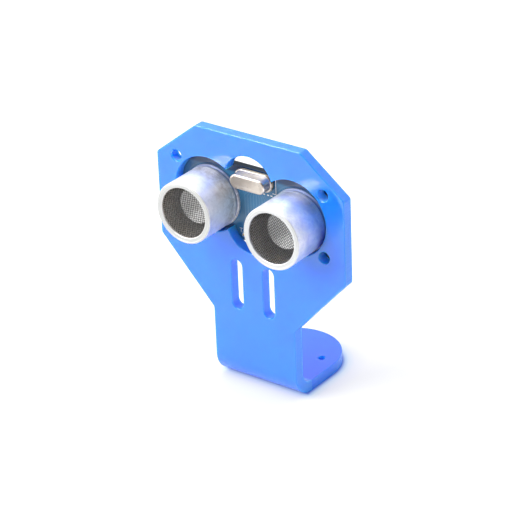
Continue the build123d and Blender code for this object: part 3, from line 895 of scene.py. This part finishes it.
def gull(reach, rise, length, thick, width, bend):
    """A gull-wing lead: local x runs outwards, y off the board, z along its width."""
    corner = bend + thick / 2
    middle = rounded([(0.0, rise), (reach, rise, corner), (reach + 0.16, thick / 2, corner),
                      (length, thick / 2)], steps=4, closed=False)
    points = [Vector(point) for point in middle]
    upper, lower = [], []
    for i, point in enumerate(points):
        along = (points[min(i + 1, len(points) - 1)] - points[max(i - 1, 0)]).normalized()
        offset = Vector((-along.y, along.x)) * thick / 2
        upper.append(tuple(point + offset))
        lower.append(tuple(point - offset))
    return prism(upper + lower[::-1], width, bevel=0.025, steps=1)


def moulded_ring(length, width, corner, h, inset, cut=0.0):
    """Rounded rectangle (u, v) at height h; cut draws its -v side in."""
    outline = rounded(rect(length - 2 * inset, width - 2 * inset), corner, steps=3)
    return [(u, v + cut if v < 0 else v, h) for u, v in outline]


def chip_package(length, width, bottom, middle, top):
    """Moulded body with drafted sides, a parting groove, a cut edge and a round recess."""
    upper = (top - middle) * DRAFT
    lower = (middle - bottom) * DRAFT
    stations = [                    # height, inset, cut of the -v side
        (bottom, lower + 0.05), (bottom + 0.05, lower),
        (middle - 0.03, 0.005), (middle - 0.012, 0.03),
        (middle + 0.012, 0.03), (middle + 0.03, 0.005),
        (top - 0.30, upper * 0.62), (top - 0.06, upper, 0.26),
        (top - 0.02, upper + 0.02, 0.28), (top, upper + 0.07, 0.30),
    ]
    rings = [moulded_ring(length, width, 0.10, *station) for station in stations]
    verts, faces = loft(rings, end_cap=False)
    # top face round the recess that marks pin one
    count, inset, radius = 28, 1.05, 0.42
    dot_u, dot_v = -length / 2 + inset, -width / 2 + inset
    outer = [Vector((u, v, 0)) for u, v, _ in rings[-1]]
    circle = []
    for k in range(count):
        angle = 2 * math.pi * k / count
        circle.append(Vector((dot_u + radius * math.cos(angle),
                              dot_v + radius * math.sin(angle), 0)))
    edge = len(verts)
    first_top = edge - len(outer)
    faces += [tuple(first_top + i for i in triangle)
              for triangle in tessellate_polygon([outer, circle])]
    verts += [(point.x, point.y, top) for point in circle]
    for shrink, depth in ((0.93, 0.11), (0.55, 0.14)):
        verts += [(dot_u + (point.x - dot_u) * shrink, dot_v + (point.y - dot_v) * shrink,
                   top - depth) for point in circle]
    wall, floor = edge + count, edge + 2 * count
    for k in range(count):
        k2 = (k + 1) % count
        faces.append((edge + k, edge + k2, wall + k2, wall + k))
        faces.append((wall + k, wall + k2, floor + k2, floor + k))
    faces.append(tuple(range(floor, floor + count)))
    return verts, faces


def lead_offsets(count):
    return [(i - (count - 1) / 2) * CHIP_PITCH for i in range(count)]


def chip(name):
    """Package and leads; returns (x, z, lies along x, leads a side, width over the leads)."""
    low, high = box_mm(f"{name}_leads")
    body_low, body_high = box_mm(f"{name}_body")
    centre_x, centre_z = (low.x + high.x) / 2, (low.z + high.z) / 2 - AXIS_Z
    size_x, size_z = body_high.x - body_low.x, body_high.z - body_low.z
    along_x = size_x > size_z
    length, width = max(size_x, size_z), min(size_x, size_z)
    over_leads = (high.z - low.z) if along_x else (high.x - low.x)
    middle = 0.82                   # height of the parting line and of the leads' shoulders
    count = round((length - 0.8) / CHIP_PITCH)

    def at(u, v, h):
        """u along the chip, v across it, h off the board"""
        if along_x:
            return back_at(centre_x - u, h, centre_z + v)
        return back_at(centre_x + v, h, centre_z + u)

    package = chip_package(length, width, body_low.y - BACK, middle, body_high.y - BACK)
    Build().add(*package, place=at).made(f"{name}_package", "chip_epoxy", CHIP, sharp=28,
                                         replaces=f"{name}_body")
    lead_width = 0.42
    lead = gull(reach=0.30, rise=middle, length=(over_leads - width) / 2, thick=0.20,
                width=lead_width, bend=0.09)
    build = Build()
    for offset in lead_offsets(count):
        for side in (-1, 1):
            build.add(*lead, place=lambda x, y, z: at(
                offset + z - lead_width / 2, side * (width / 2 - 0.02 + x), y))
    build.made(f"{name}_gull_leads", "tinned_pin", LEAD, sharp=35, replaces=f"{name}_leads")
    return centre_x, centre_z, along_x, count, over_leads


chips = [chip(name) for name in ("controller_chip", "amplifier_chip", "driver_chip")]


# ============================================================ two-terminal parts
def islands(node):
    """Centres and sizes of a CAD node's separate lumps, joined by edges or shared places."""
    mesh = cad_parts[node].data
    points = [vert.co / MM for vert in mesh.vertices]
    parent = list(range(len(points)))

    def find(i):
        while parent[i] != i:
            parent[i] = parent[parent[i]]
            i = parent[i]
        return i

    def join(i, j):
        i, j = find(i), find(j)
        if i != j:
            parent[i] = j

    for edge in mesh.edges:
        join(*edge.vertices)
    seen = {}
    for i, point in enumerate(points):
        spot = tuple(round(value, 3) for value in point)
        if spot in seen:
            join(i, seen[spot])
        else:
            seen[spot] = i
    groups = {}
    for i, point in enumerate(points):
        groups.setdefault(find(i), []).append(point)
    lumps = []
    for group in groups.values():
        low = Vector([min(point[axis] for point in group) for axis in range(3)])
        high = Vector([max(point[axis] for point in group) for axis in range(3)])
        lumps.append(((low + high) / 2, high - low))
    return sorted(lumps, key=lambda lump: (round(lump[0].x, 2), round(lump[0].z, 2)))


def on_lump(centre, size, upright, lift=0.0):
    """Placing in a lump: u along the part, v across it, h from the lump's board side."""
    def at(u, v, h):
        across, up = (v, u) if upright else (u, v)
        return (centre.x + across, centre.y - size.y / 2 + h + lift, centre.z + up)
    return at


def two_terminal(kind, slot, materials, end_bevel):
    """Bodies and end caps; returns the pads below the caps as (x, z, width, height)."""
    glaze = 0.05                    # thickness of a resistor's top layer
    bodies, caps, pads = Build(), Build(), []
    for centre, size in islands(f"{kind}_bodies"):
        length, width = max(size.x, size.z), min(size.x, size.z)
        depth = size.y
        upright = size.z > size.x
        at = on_lump(centre, size, upright)
        if kind == "resistor":
            bodies.add(*prism(rect(length, width), depth - glaze, bevel=0.015, steps=1), at)
            bodies.add(*prism(rect(length - 0.06, width - 0.04), 0.045, bevel=0.018, steps=2),
                       on_lump(centre, size, upright, lift=depth - glaze), material=1)
        else:
            bodies.add(*prism(rect(length, width), depth, bevel=0.07, steps=3), at)
    for centre, size in islands(f"{kind}_terminals"):
        upright = size.z < size.x
        thick, width = min(size.x, size.z), max(size.x, size.z)
        caps.add(*prism(rect(thick, width), size.y, end_bevel, steps=3),
                 on_lump(centre, size, upright))
        along, across = thick + 0.36, width + 0.12
        pad = (across, along) if upright else (along, across)
        pads.append((centre.x, centre.z - AXIS_Z, *pad))
    bodies.made(f"{kind}_cores", slot, *materials, sharp=35, replaces=f"{kind}_bodies")
    caps.made(f"{kind}_end_caps", "tinned_pin", LEAD, sharp=35, replaces=f"{kind}_terminals")
    return pads


def transistors():
    """Three-legged packages; returns their pads."""
    middle = 0.5                    # height of the parting line and of the legs' shoulders
    leg_width = 0.4
    leg_places = ((0.0, 1), (-0.95, -1), (0.95, -1))        # x, side in z
    leg = gull(reach=0.12, rise=middle, length=0.58, thick=0.12, width=leg_width, bend=0.05)
    bodies, legs, pads = Build(), Build(), []
    for centre, size in islands("transistor_bodies"):
        def at(u, v, h):
            return (centre.x + u, BACK + h, centre.z + v)

        bottom = centre.y - size.y / 2 - BACK
        top = centre.y + size.y / 2 - BACK
        stations = [                # height, inset
            (bottom, 0.10), (bottom + 0.04, 0.06),
            (middle - 0.02, 0.0), (middle, 0.02), (middle + 0.02, 0.0),
            (top - 0.05, 0.06), (top - 0.015, 0.075), (top, 0.11), (top, 0.4),
        ]
        rings = [moulded_ring(size.x, size.z, 0.08, *station) for station in stations]
        bodies.add(*loft(rings), place=at)
        for leg_x, side in leg_places:
            legs.add(*leg, place=lambda x, y, z: at(
                leg_x + z - leg_width / 2, side * (size.z / 2 - 0.02 + x), y))
            pad_z = centre.z - AXIS_Z + side * (size.z / 2 + 0.42)
            pads.append((centre.x + leg_x, pad_z, 0.62, 0.62))
    bodies.made("transistor_packages", "chip_epoxy", CHIP, sharp=28,
                replaces="transistor_bodies")
    legs.made("transistor_legs", "tinned_pin", LEAD, sharp=35, replaces="transistor_leads")
    return pads


back_pads = two_terminal("resistor", "resistor_black", [RESISTOR_CORE, RESISTOR_TOP],
                         end_bevel=0.07)
back_pads += two_terminal("capacitor", "capacitor_tan", [CAPACITOR], end_bevel=0.10)
back_pads += transistors()


# ============================================================ pin header
HEADER_PITCH = 2.54
HEADER_X = [(i - 1.5) * HEADER_PITCH for i in range(4)]
block_low, block_high = box_mm("header_block")
block_y = (block_low.y + block_high.y) / 2


def header_body():
    """A block notched between the pins, with a small square foot under each."""
    bottom = block_low.z
    half, notch_y, notch_x = 1.27, 0.90, 0.42
    outline = []
    for i in range(4):
        start = (i - 2) * HEADER_PITCH
        end = start + HEADER_PITCH
        outline += [(start + notch_x, -half), (end - notch_x, -half),
                    (end - 0.02 if i < 3 else end, -notch_y)]
    outline.append((2 * HEADER_PITCH, notch_y))
    for i in range(3, -1, -1):
        start = (i - 2) * HEADER_PITCH
        outline += [(start + HEADER_PITCH - notch_x, half), (start + notch_x, half),
                    (start, notch_y)]
    outline.append((-2 * HEADER_PITCH, -notch_y))
    build = Build()
    build.add(*prism(outline, block_high.z - bottom, bevel=0.07, steps=2),
              place=lambda x, y, z: (x, block_y + y, bottom + z))
    foot = prism(rounded(rect(1.15, 1.15), 0.12, steps=2), 0.07, bevel=0.03, steps=1)
    for pin_x in HEADER_X:
        build.add(*foot, place=lambda x, y, z: (pin_x + x, block_y + y, bottom - 0.035 + z))
    build.made("header_body", "header_plastic", HEADER, sharp=28, replaces="header_block")


def header_pins():
    """Square pins that run back from the front and bend down, with tapered ends."""
    half, chamfer = 0.32, 0.045
    low, high = box_mm("header_pins")
    row_z = high.z - half
    path = rounded([(low.y, row_z), (block_y, row_z, 0.55), (block_y, low.z)],
                   steps=8, closed=False)
    points = [Vector(point) for point in path]
    stations = [(points[0], 0.55), (points[0] + Vector((0.22, 0)), 1.0)]    # (y, z), scale
    stations += [(point, 1.0) for point in points[1:-1]]
    stations += [(points[-1] + Vector((0, 0.30)), 1.0), (points[-1], 0.5)]
    flat = half - chamfer
    section = [(-half, -flat), (-flat, -half), (flat, -half), (half, -flat),
               (half, flat), (flat, half), (-flat, half), (-half, flat)]
    build = Build()
    for pin_x in HEADER_X:
        rings = []
        for k, (point, scale) in enumerate(stations):
            before = stations[max(k - 1, 0)][0]
            after = stations[min(k + 1, len(stations) - 1)][0]
            along = (after - before).normalized()
            rings.append([(pin_x + u * scale, point.x - along.y * v * scale,
                           point.y + along.x * v * scale) for u, v in section])
        build.add(*loft(rings))
    build.made("header_square_pins", "gold_pin", GOLD, sharp=35, replaces="header_pins")


header_body()
header_pins()


# ============================================================ solder joints
def solder_joint(build, place, x, z, base, top, height, seed):
    """An uneven fillet from radius base at the board to radius top at its height."""
    draw = random.Random(seed)
    oval = draw.uniform(0.01, 0.035)
    three_lobed = draw.uniform(0.01, 0.03)
    oval_phase = draw.uniform(0, 6.28)
    lobe_phase = draw.uniform(0, 6.28)
    lean = draw.uniform(-0.05, 0.05)

    def wobble(r, s, angle):
        if r < top * 0.7:
            return r, s
        swell = (1 + oval * math.sin(2 * angle + oval_phase)
                 + three_lobed * math.sin(3 * angle + lobe_phase))
        return min(r * swell, base), s * (1 + lean * math.cos(angle + oval_phase))

    edge_r, edge_s = base - 0.03, 0.075
    profile = [(0, 0.0), (base, 0.0), (base, 0.04), (edge_r, edge_s)]
    steps = 12
    for i in range(1, steps + 1):
        u = i / steps
        profile.append((edge_r + (top - base + 0.03) * (1 - (1 - u) ** 1.9),
                        edge_s + (height - edge_s) * u ** 1.5))
    profile += [(top - 0.06, height + 0.02), (top - 0.14, height + 0.01), (0, height)]
    build.add(*lathe(profile, place, x, z, 48, wobble))


crystal_places = [(-2.44, CRYSTAL_Z), (2.44, CRYSTAL_Z)]
joints_low, joints_high = box_mm("front_solder_joints")
HEADER_Z = (joints_low.z + joints_high.z) / 2 - AXIS_Z

rear = Build()
for i, (x, z) in enumerate(pin_places):
    solder_joint(rear, back_at, x, z, base=1.05, top=0.45, height=0.82, seed=10 + i)
for i, (x, z) in enumerate(crystal_places):
    solder_joint(rear, back_at, x, z, base=0.80, top=0.30, height=0.66, seed=30 + i)
rear.made("rear_solder", "solder", SOLDER, sharp=50, replaces="rear_solder_joints")

front = Build()
for i, x in enumerate(HEADER_X):
    solder_joint(front, front_at, x, HEADER_Z, base=0.88, top=0.50, height=0.72, seed=50 + i)
front.made("front_solder", "solder", SOLDER, sharp=50, replaces="front_solder_joints")


# ============================================================ pads
VIAS = [                            # x, z
    (-20.5, 7.2), (-7.6, 0.8), (-7.2, -1.6), (5.9, 0.6), (7.4, -2.6), (10.6, 0.8), (17.5, 1.3),
    (20.8, 0.4), (-20.9, -1.2), (-16.0, -0.6), (2.0, 7.9), (-2.6, 4.9), (16.9, -4.9),
    (20.4, -5.4), (-8.6, 5.4),
]


def solder_pads():
    build = Build()
    clear = 0.001                   # gap between the board and the pads

    def pad(x, z, width, height):
        build.add(*prism(rect(width, height), 0.03, bevel=0.01, steps=1),
                  place=lambda u, v, h: back_at(x + u, h + clear, z + v))

    def annulus(place, x, z, inner, outer, thick=0.03, segments=36):
        profile = [(inner, clear), (outer, clear), (outer, thick - 0.008),
                   (outer - 0.01, thick), (inner + 0.01, thick), (inner, thick - 0.008)]
        build.add(*lathe(profile, place, x, z, segments))

    for place in back_pads:
        pad(*place)
    for centre_x, centre_z, along_x, count, over_leads in chips:
        for offset in lead_offsets(count):
            for side in (-1, 1):
                out = side * (over_leads / 2 - 0.30)
                if along_x:
                    pad(centre_x + offset, centre_z + out, 0.55, 1.05)
                else:
                    pad(centre_x + out, centre_z + offset, 1.05, 0.55)
    for x, z in pin_places:
        annulus(back_at, x, z, inner=0.5, outer=1.12)
    for x, z in crystal_places:
        annulus(back_at, x, z, inner=0.35, outer=0.88)
    for x in HEADER_X:
        annulus(back_at, x, HEADER_Z, inner=0.52, outer=0.92)
        annulus(front_at, x, HEADER_Z, inner=0.52, outer=0.95, thick=0.02)
    for x, z in VIAS:
        annulus(back_at, x, z, inner=0.16, outer=0.33, thick=0.025, segments=20)
    build.made("solder_pads", "solder", LEAD, sharp=35)


solder_pads()


# ============================================================ wiring
BACK_RUNS = [                       # (x, z) points of short runs between the parts
    [(-19.4, 4.2), (-19.4, 3.2), (-18.9, 2.7)],
    [(-16.9, 4.2), (-16.9, 3.0)],
    [(-14.5, 4.2), (-14.5, 3.2), (-14.0, 2.7)],
    [(-12.1, 4.2), (-12.1, 3.0)],
    [(-9.6, 4.2), (-9.6, 3.0)],
    [(-7.6, 0.8), (-7.6, 1.8), (-7.4, 2.2)],
    [(-7.2, -1.6), (-6.4, -1.6), (-6.0, -2.0), (-6.0, -5.5)],
    [(-17.2, 2.4), (-14.2, 2.4)],
    [(-12.0, 2.4), (-9.4, 2.4)],
    [(-20.5, 7.2), (-19.4, 7.2), (-19.4, 6.2)],
    [(-16.9, 6.2), (-16.9, 7.4), (-12.1, 7.4), (-12.1, 6.2)],
    [(-20.9, -1.2), (-20.9, 0.6), (-19.6, 1.9), (-19.3, 2.2)],
    [(-16.0, -0.6), (-14.0, -0.6), (-13.0, 0.2)],
    [(5.9, 0.6), (6.3, 1.2)],
    [(6.3, 3.2), (6.3, 4.4)],
    [(7.4, -2.6), (6.2, -3.4)],
    [(10.6, 0.8), (9.6, 1.8), (9.6, 2.6)],
    [(17.5, 1.3), (19.2, 0.0), (19.2, -1.3)],
    [(20.8, 0.4), (20.8, 3.6), (19.9, 4.5)],
    [(9.9, -4.4), (11.3, -4.4)],
    [(13.1, -4.4), (14.5, -4.4)],
    [(16.3, -4.4), (16.9, -4.9)],
    [(9.9, -6.3), (11.0, -6.4)],
    [(13.3, -6.5), (14.7, -6.5)],
    [(17.0, -6.5), (18.2, -7.1)],
    [(20.4, -5.4), (19.4, -5.4)],
    [(2.0, 7.9), (1.2, 7.9), (0.9, 7.0), (0.9, 5.0)],
    [(-2.6, 4.9), (-1.1, 4.4)],
    [(-8.6, 5.4), (-6.5, 6.4)],
    [(-3.81, -7.1), (-3.81, -5.2), (-3.2, -4.4)],
    [(-1.27, -7.1), (-1.27, -6.3)],
    [(1.27, -7.1), (1.27, -6.3)],
    [(3.81, -7.1), (3.81, -5.4), (5.9, -5.2)],
]
WIDE_BACK_RUNS = [                  # width, (x, z) points
    (0.7, [(-21.3, 3.5), (-21.3, -6.0)]),
    (0.7, [(21.6, 5.6), (21.6, -6.0)]),
    (0.9, [(8.2, -8.6), (19.0, -8.6)]),
    (0.7, [(-19.4, -8.9), (-7.0, -8.9)]),
]


def visible_stretches(points, step):
    """Cuts a path into steps and keeps the stretches that show through the cut-outs."""
    dense = []
    for start, end in zip(points, points[1:]):
        count = max(1, int(math.dist(start, end) / step))
        for k in range(count):
            dense.append((start[0] + (end[0] - start[0]) * k / count,
                          start[1] + (end[1] - start[1]) * k / count))
    dense.append(tuple(points[-1]))
    run = []
    for point in dense + [None]:
        if point is not None and cutout(point[0], AXIS_Z + point[1], margin=0.35):
            run.append(point)
            continue
        if len(run) > 2:
            kept = [run[0]]         # only the ends and the points where the run turns
            for before, here, after in zip(run, run[1:], run[2:]):
                step_in = (here[0] - before[0], here[1] - before[1])
                step_out = (after[0] - here[0], after[1] - here[1])
                if abs(step_in[0] * step_out[1] - step_in[1] * step_out[0]) > 1e-6:
                    kept.append(here)
            kept.append(run[-1])
            yield kept
        run = []


def wiring_traces():
    build = Build()
    low, high = -0.004, 0.022

    def front_trace(points, width, step=0.25):
        for stretch in visible_stretches(points, step):
            build.add(*ribbon(stretch, width, low, high, front_at))

    # a bundle of thin lines runs down between the transducers to the header
    for i in range(9):
        x = -3.4 + i * 0.85
        end_x = HEADER_X[0] + i * (HEADER_X[3] - HEADER_X[0]) / 8
        front_trace([(x * 0.72, 4.7), (x * 0.72, 3.4), (x, 2.6), (x, -3.6 - 0.25 * (i % 3)),
                     (end_x, -5.6), (end_x, -6.9)], width=0.26)
    front_trace([(-5.6, 9.2), (-6.3, 7.2), (-6.3, 5.6)], width=0.4)
    front_trace([(6.4, 9.0), (6.4, 5.6)], width=0.3)
    # an arc round each transducer
    arc_radius = 8.75
    for side in (-1, 1):
        angles = [math.radians(20 + 10 * k) for k in range(15)]
        front_trace([(side * TRANSDUCER_X + arc_radius * math.cos(angle),
                      arc_radius * math.sin(angle)) for angle in angles], width=0.3, step=0.8)
    for width, points in [(0.3, run) for run in BACK_RUNS] + WIDE_BACK_RUNS:
        build.add(*ribbon(points, width, low, high, back_at))
    build.made("wiring_traces", "board", TRACE, sharp=35)


wiring_traces()


# ============================================================ plain white print
def board_print():
    """Outlines, dots and tick marks, without lettering."""
    build = Build()
    low, high = 0.0, 0.026

    def line(start, end, width, place=back_at):
        build.add(*ribbon([start, end], width, low, high, place))

    # a line either side of each two-terminal part
    for centre, size in islands("resistor_bodies") + islands("capacitor_bodies"):
        half_length = max(size.x, size.z) / 2 + 0.75
        out = min(size.x, size.z) / 2 + 0.28
        x, z = centre.x, centre.z - AXIS_Z
        for side in (-1, 1):
            if size.z > size.x:
                line((x + side * out, z - half_length), (x + side * out, z + half_length), 0.13)
            else:
                line((x - half_length, z + side * out), (x + half_length, z + side * out), 0.13)
    # a line at each end of a chip and a dot by one corner
    half_line, dot_radius = 1.9, 0.22
    dot_profile = [(0, low), (dot_radius, low), (dot_radius, high - 0.006),
                   (dot_radius - 0.01, high), (0, high)]
    for x, z, along_x, count, over_leads in chips:
        half_length = (count * CHIP_PITCH + 0.5) / 2
        for side in (-1, 1):
            end = side * half_length
            if along_x:
                line((x + end, z - half_line), (x + end, z + half_line), 0.15)
            else:
                line((x - half_line, z + end), (x + half_line, z + end), 0.15)
        if along_x:
            dot = (x + half_length + 0.1, z - over_leads / 2 + 0.2)
        else:
            dot = (x - over_leads / 2 + 0.2, z - half_length - 0.1)
        build.add(*lathe(dot_profile, back_at, *dot, 24))
    # frame round the header's joints on the back
    half_x, half_z = 10.6 / 2, 2.25 / 2
    for x in (-half_x, half_x):
        line((x, HEADER_Z - half_z), (x, HEADER_Z + half_z), 0.15)
    for z in (HEADER_Z + half_z, HEADER_Z - half_z):
        line((-half_x + 0.1, z), (half_x - 0.1, z), 0.15)
    # parts of the crystal's outline on the front
    outline_x = 5.95
    line((outline_x, CRYSTAL_Z - 2.7), (outline_x, CRYSTAL_Z + 1.4), 0.16, front_at)
    line((outline_x, CRYSTAL_Z - 2.62), (4.9, CRYSTAL_Z - 2.62), 0.16, front_at)
    line((-4.4, CRYSTAL_Z - 2.75), (-3.6, CRYSTAL_Z - 2.75), 0.16, front_at)
    tick_z = CRYSTAL_Z - 3.35
    for x in (-2.3, -1.1, 0.9, 2.1, 3.3, 4.3):
        line((x, tick_z), (x + 0.55, tick_z), 0.3, front_at)
    # a small T near the header's -x end
    line((-5.4, HEADER_Z + 1.25), (-4.6, HEADER_Z + 1.25), 0.15, front_at)
    line((-5.0, HEADER_Z + 0.2), (-5.0, HEADER_Z + 1.2), 0.15, front_at)
    build.made("board_print", "board", PRINT, sharp=35)


board_print()

# ============================================================ stage, in metres
PAPER_GLOW = 0.38                   # emission strength of the floor


def stage_sheet(name, points, material):
    mesh = bpy.data.meshes.new(name)
    mesh.from_pydata(points, [], [tuple(range(len(points)))])
    mesh.materials.append(material)
    sheet = bpy.data.objects.new(name, mesh)
    bpy.context.scene.collection.objects.link(sheet)
    return sheet


def floor_paper():
    """White paper, with a painted blue-tinted shadow close to the bracket's foot."""
    mat = Material("floor_paper")
    tone = mat.noise(scale=0.02, detail=2.0)
    # distance in millimetres from the foot: round at the back, straight at the front
    round_radius, round_y, front_y, reach = 12.3, -0.9, -12.4, 14
    x, y, z = mat.place.split()
    behind = (y + -round_y).math("MAXIMUM", 0.0)
    outside = (hypot(x, behind) - round_radius).math("MAXIMUM", 0.0)
    before = (front_y - y).math("MAXIMUM", 0.0)
    away = hypot(outside, before) * (1 / reach)
    # painted shadow: the paper's colour and glow are painted darker and bluer close to the foot,
    # for the acrylic's blue-tinted contact shadow
    painted_shadow_tints = [                       # distance as a part of the reach, colour
        (0.0, (0.16, 0.28, 0.80)), (0.05, (0.60, 0.76, 1.0)), (0.11, (0.83, 0.91, 1.0)),
        (0.22, (0.94, 0.945, 1.0)), (0.45, (0.985, 0.98, 0.99)), (1.0, (1.0, 1.0, 1.0)),
    ]

    def paper(level):
        return away.ramp([(at, tuple(level * part for part in tint)) for at, tint in painted_shadow_tints])

    return mat.finish(colour=tone.span().mix(low=paper(level=0.50), high=paper(level=0.515)),
                      rough=0.8, spec=0.1, glow=paper(level=1.0), glow_strength=PAPER_GLOW)


def floor():
    half, z = 3.0, -0.00002
    corners = [(-half, -half, z), (half, -half, z), (half, half, z), (-half, half, z)]
    stage_sheet("floor", corners, floor_paper())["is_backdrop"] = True


def studio_world():
    """Bright white room, darker on the side where the camera stands."""
    world = bpy.data.worlds.new("studio")
    bpy.context.scene.world = world
    world.use_nodes = True
    graph = Graph(world.node_tree)
    background = world.node_tree.nodes["Background"]
    direction = graph.node("ShaderNodeTexCoord", output="Generated")
    dark_side = tuple(Vector((0.62, -0.70, 0.35)).normalized())
    facing = graph.node("ShaderNodeVectorMath", {0: direction, 1: dark_side}, output="Value",
                        operation="DOT_PRODUCT")
    dark = facing.span(over=(0.30, 0.85), to=(1.0, 0.12), smooth=True)
    room = direction.split()[2].span(over=(-0.1, 0.9), to=(1.0, 1.10)) * dark
    camera_ray = graph.node("ShaderNodeLightPath", output="Is Camera Ray")
    seen_strength = 1.05            # what the camera sees directly
    strength = graph.node("ShaderNodeMix", {0: camera_ray, 2: room, 3: seen_strength},
                          data_type="FLOAT")
    graph.feed(background.inputs["Strength"], strength)
    background.inputs["Color"].default_value = (1.0, 1.0, 1.0, 1.0)


def area_light(name, offset, target, size, power):
    """Square light at an offset from its target, facing it."""
    light = bpy.data.lights.new(name, "AREA")
    light.shape = "RECTANGLE"
    light.size = size
    light.size_y = size
    light.energy = power
    lamp = bpy.data.objects.new(name, light)
    bpy.context.scene.collection.objects.link(lamp)
    location = target + Vector(offset)
    lamp.location = location
    lamp.rotation_mode = "QUATERNION"
    lamp.rotation_quaternion = (target - location).to_track_quat("-Z", "Y")


def black_card():
    """A black fan on the floor in front, which only reflections see.

    It keeps the can sides mirrored in the plate dark."""
    near = 75.0                     # inner radius about the plate's front face, millimetres
    mat = Material("black_paper")
    x, y, z = mat.place.split()
    y = y - PLATE
    # fades into the floor at its inner edge and at its edge near x = 0
    inked = (y.math("ARCTAN2", x).span(over=(math.radians(-88), math.radians(-74)), smooth=True)
             * hypot(x, y).span(over=(near, 115.0), smooth=True))
    ink = mat.noise(scale=0.5).tones(dark=(0.010, 0.010, 0.010), light=(0.016, 0.016, 0.016))
    material = mat.finish(colour=inked.mix(low=(0.50, 0.50, 0.50), high=ink),
                          rough=0.9, spec=0.1, glow=(1.0, 1.0, 1.0),
                          glow_strength=inked.span(over=(0.0, 1.0), to=(PAPER_GLOW, 0.0)))
    fan = []
    for radius, degrees in ((near * MM, range(-88, -41, 5)), (0.60, range(-43, -89, -5))):
        for degree in degrees:
            angle = math.radians(degree)
            fan.append((radius * math.cos(angle), radius * math.sin(angle) + PLATE * MM, 0.00005))
    card = stage_sheet("black_card", fan, material)
    card.visible_camera = False
    card.visible_diffuse = False
    card.visible_shadow = False
    card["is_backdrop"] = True


def camera():
    """Looks down from the front and the +x side, slightly rolled."""
    data = bpy.data.cameras.new("camera")
    data.sensor_width = 36.0
    data.lens = 165.46
    data.clip_start = 0.01
    data.clip_end = 50.0
    view = bpy.data.objects.new("camera", data)
    bpy.context.scene.collection.objects.link(view)
    turn, rise, roll = math.radians(37.205), math.radians(27.101), math.radians(-2.381)
    distance = 0.56935
    target = Vector((0.001454, PLATE * MM, bracket_low.z * MM + 0.03744))
    back = Vector((math.sin(turn) * math.cos(rise), -math.cos(turn) * math.cos(rise),
                   math.sin(rise)))
    right = Vector((math.cos(turn), math.sin(turn), 0))
    up = back.cross(right)
    rolled_right = right * math.cos(roll) + up * math.sin(roll)
    rolled_up = -right * math.sin(roll) + up * math.cos(roll)
    turned_to = Matrix((rolled_right, rolled_up, back)).transposed().to_4x4()
    view.matrix_world = Matrix.Translation(target + back * distance) @ turned_to
    bpy.context.scene.camera = view


floor()
studio_world()
centre = (Vector(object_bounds()[0]) + Vector(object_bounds()[1])) / 2
area_light("key", offset=(-0.47, -0.50, 0.48), target=centre, size=0.62, power=8.4)
area_light("top", offset=(-0.10, 0.02, 0.65), target=centre, size=0.60, power=2.6)
black_card()
camera()
bpy.context.scene.view_settings.view_transform = "Standard"
bpy.context.scene.view_settings.look = "None"
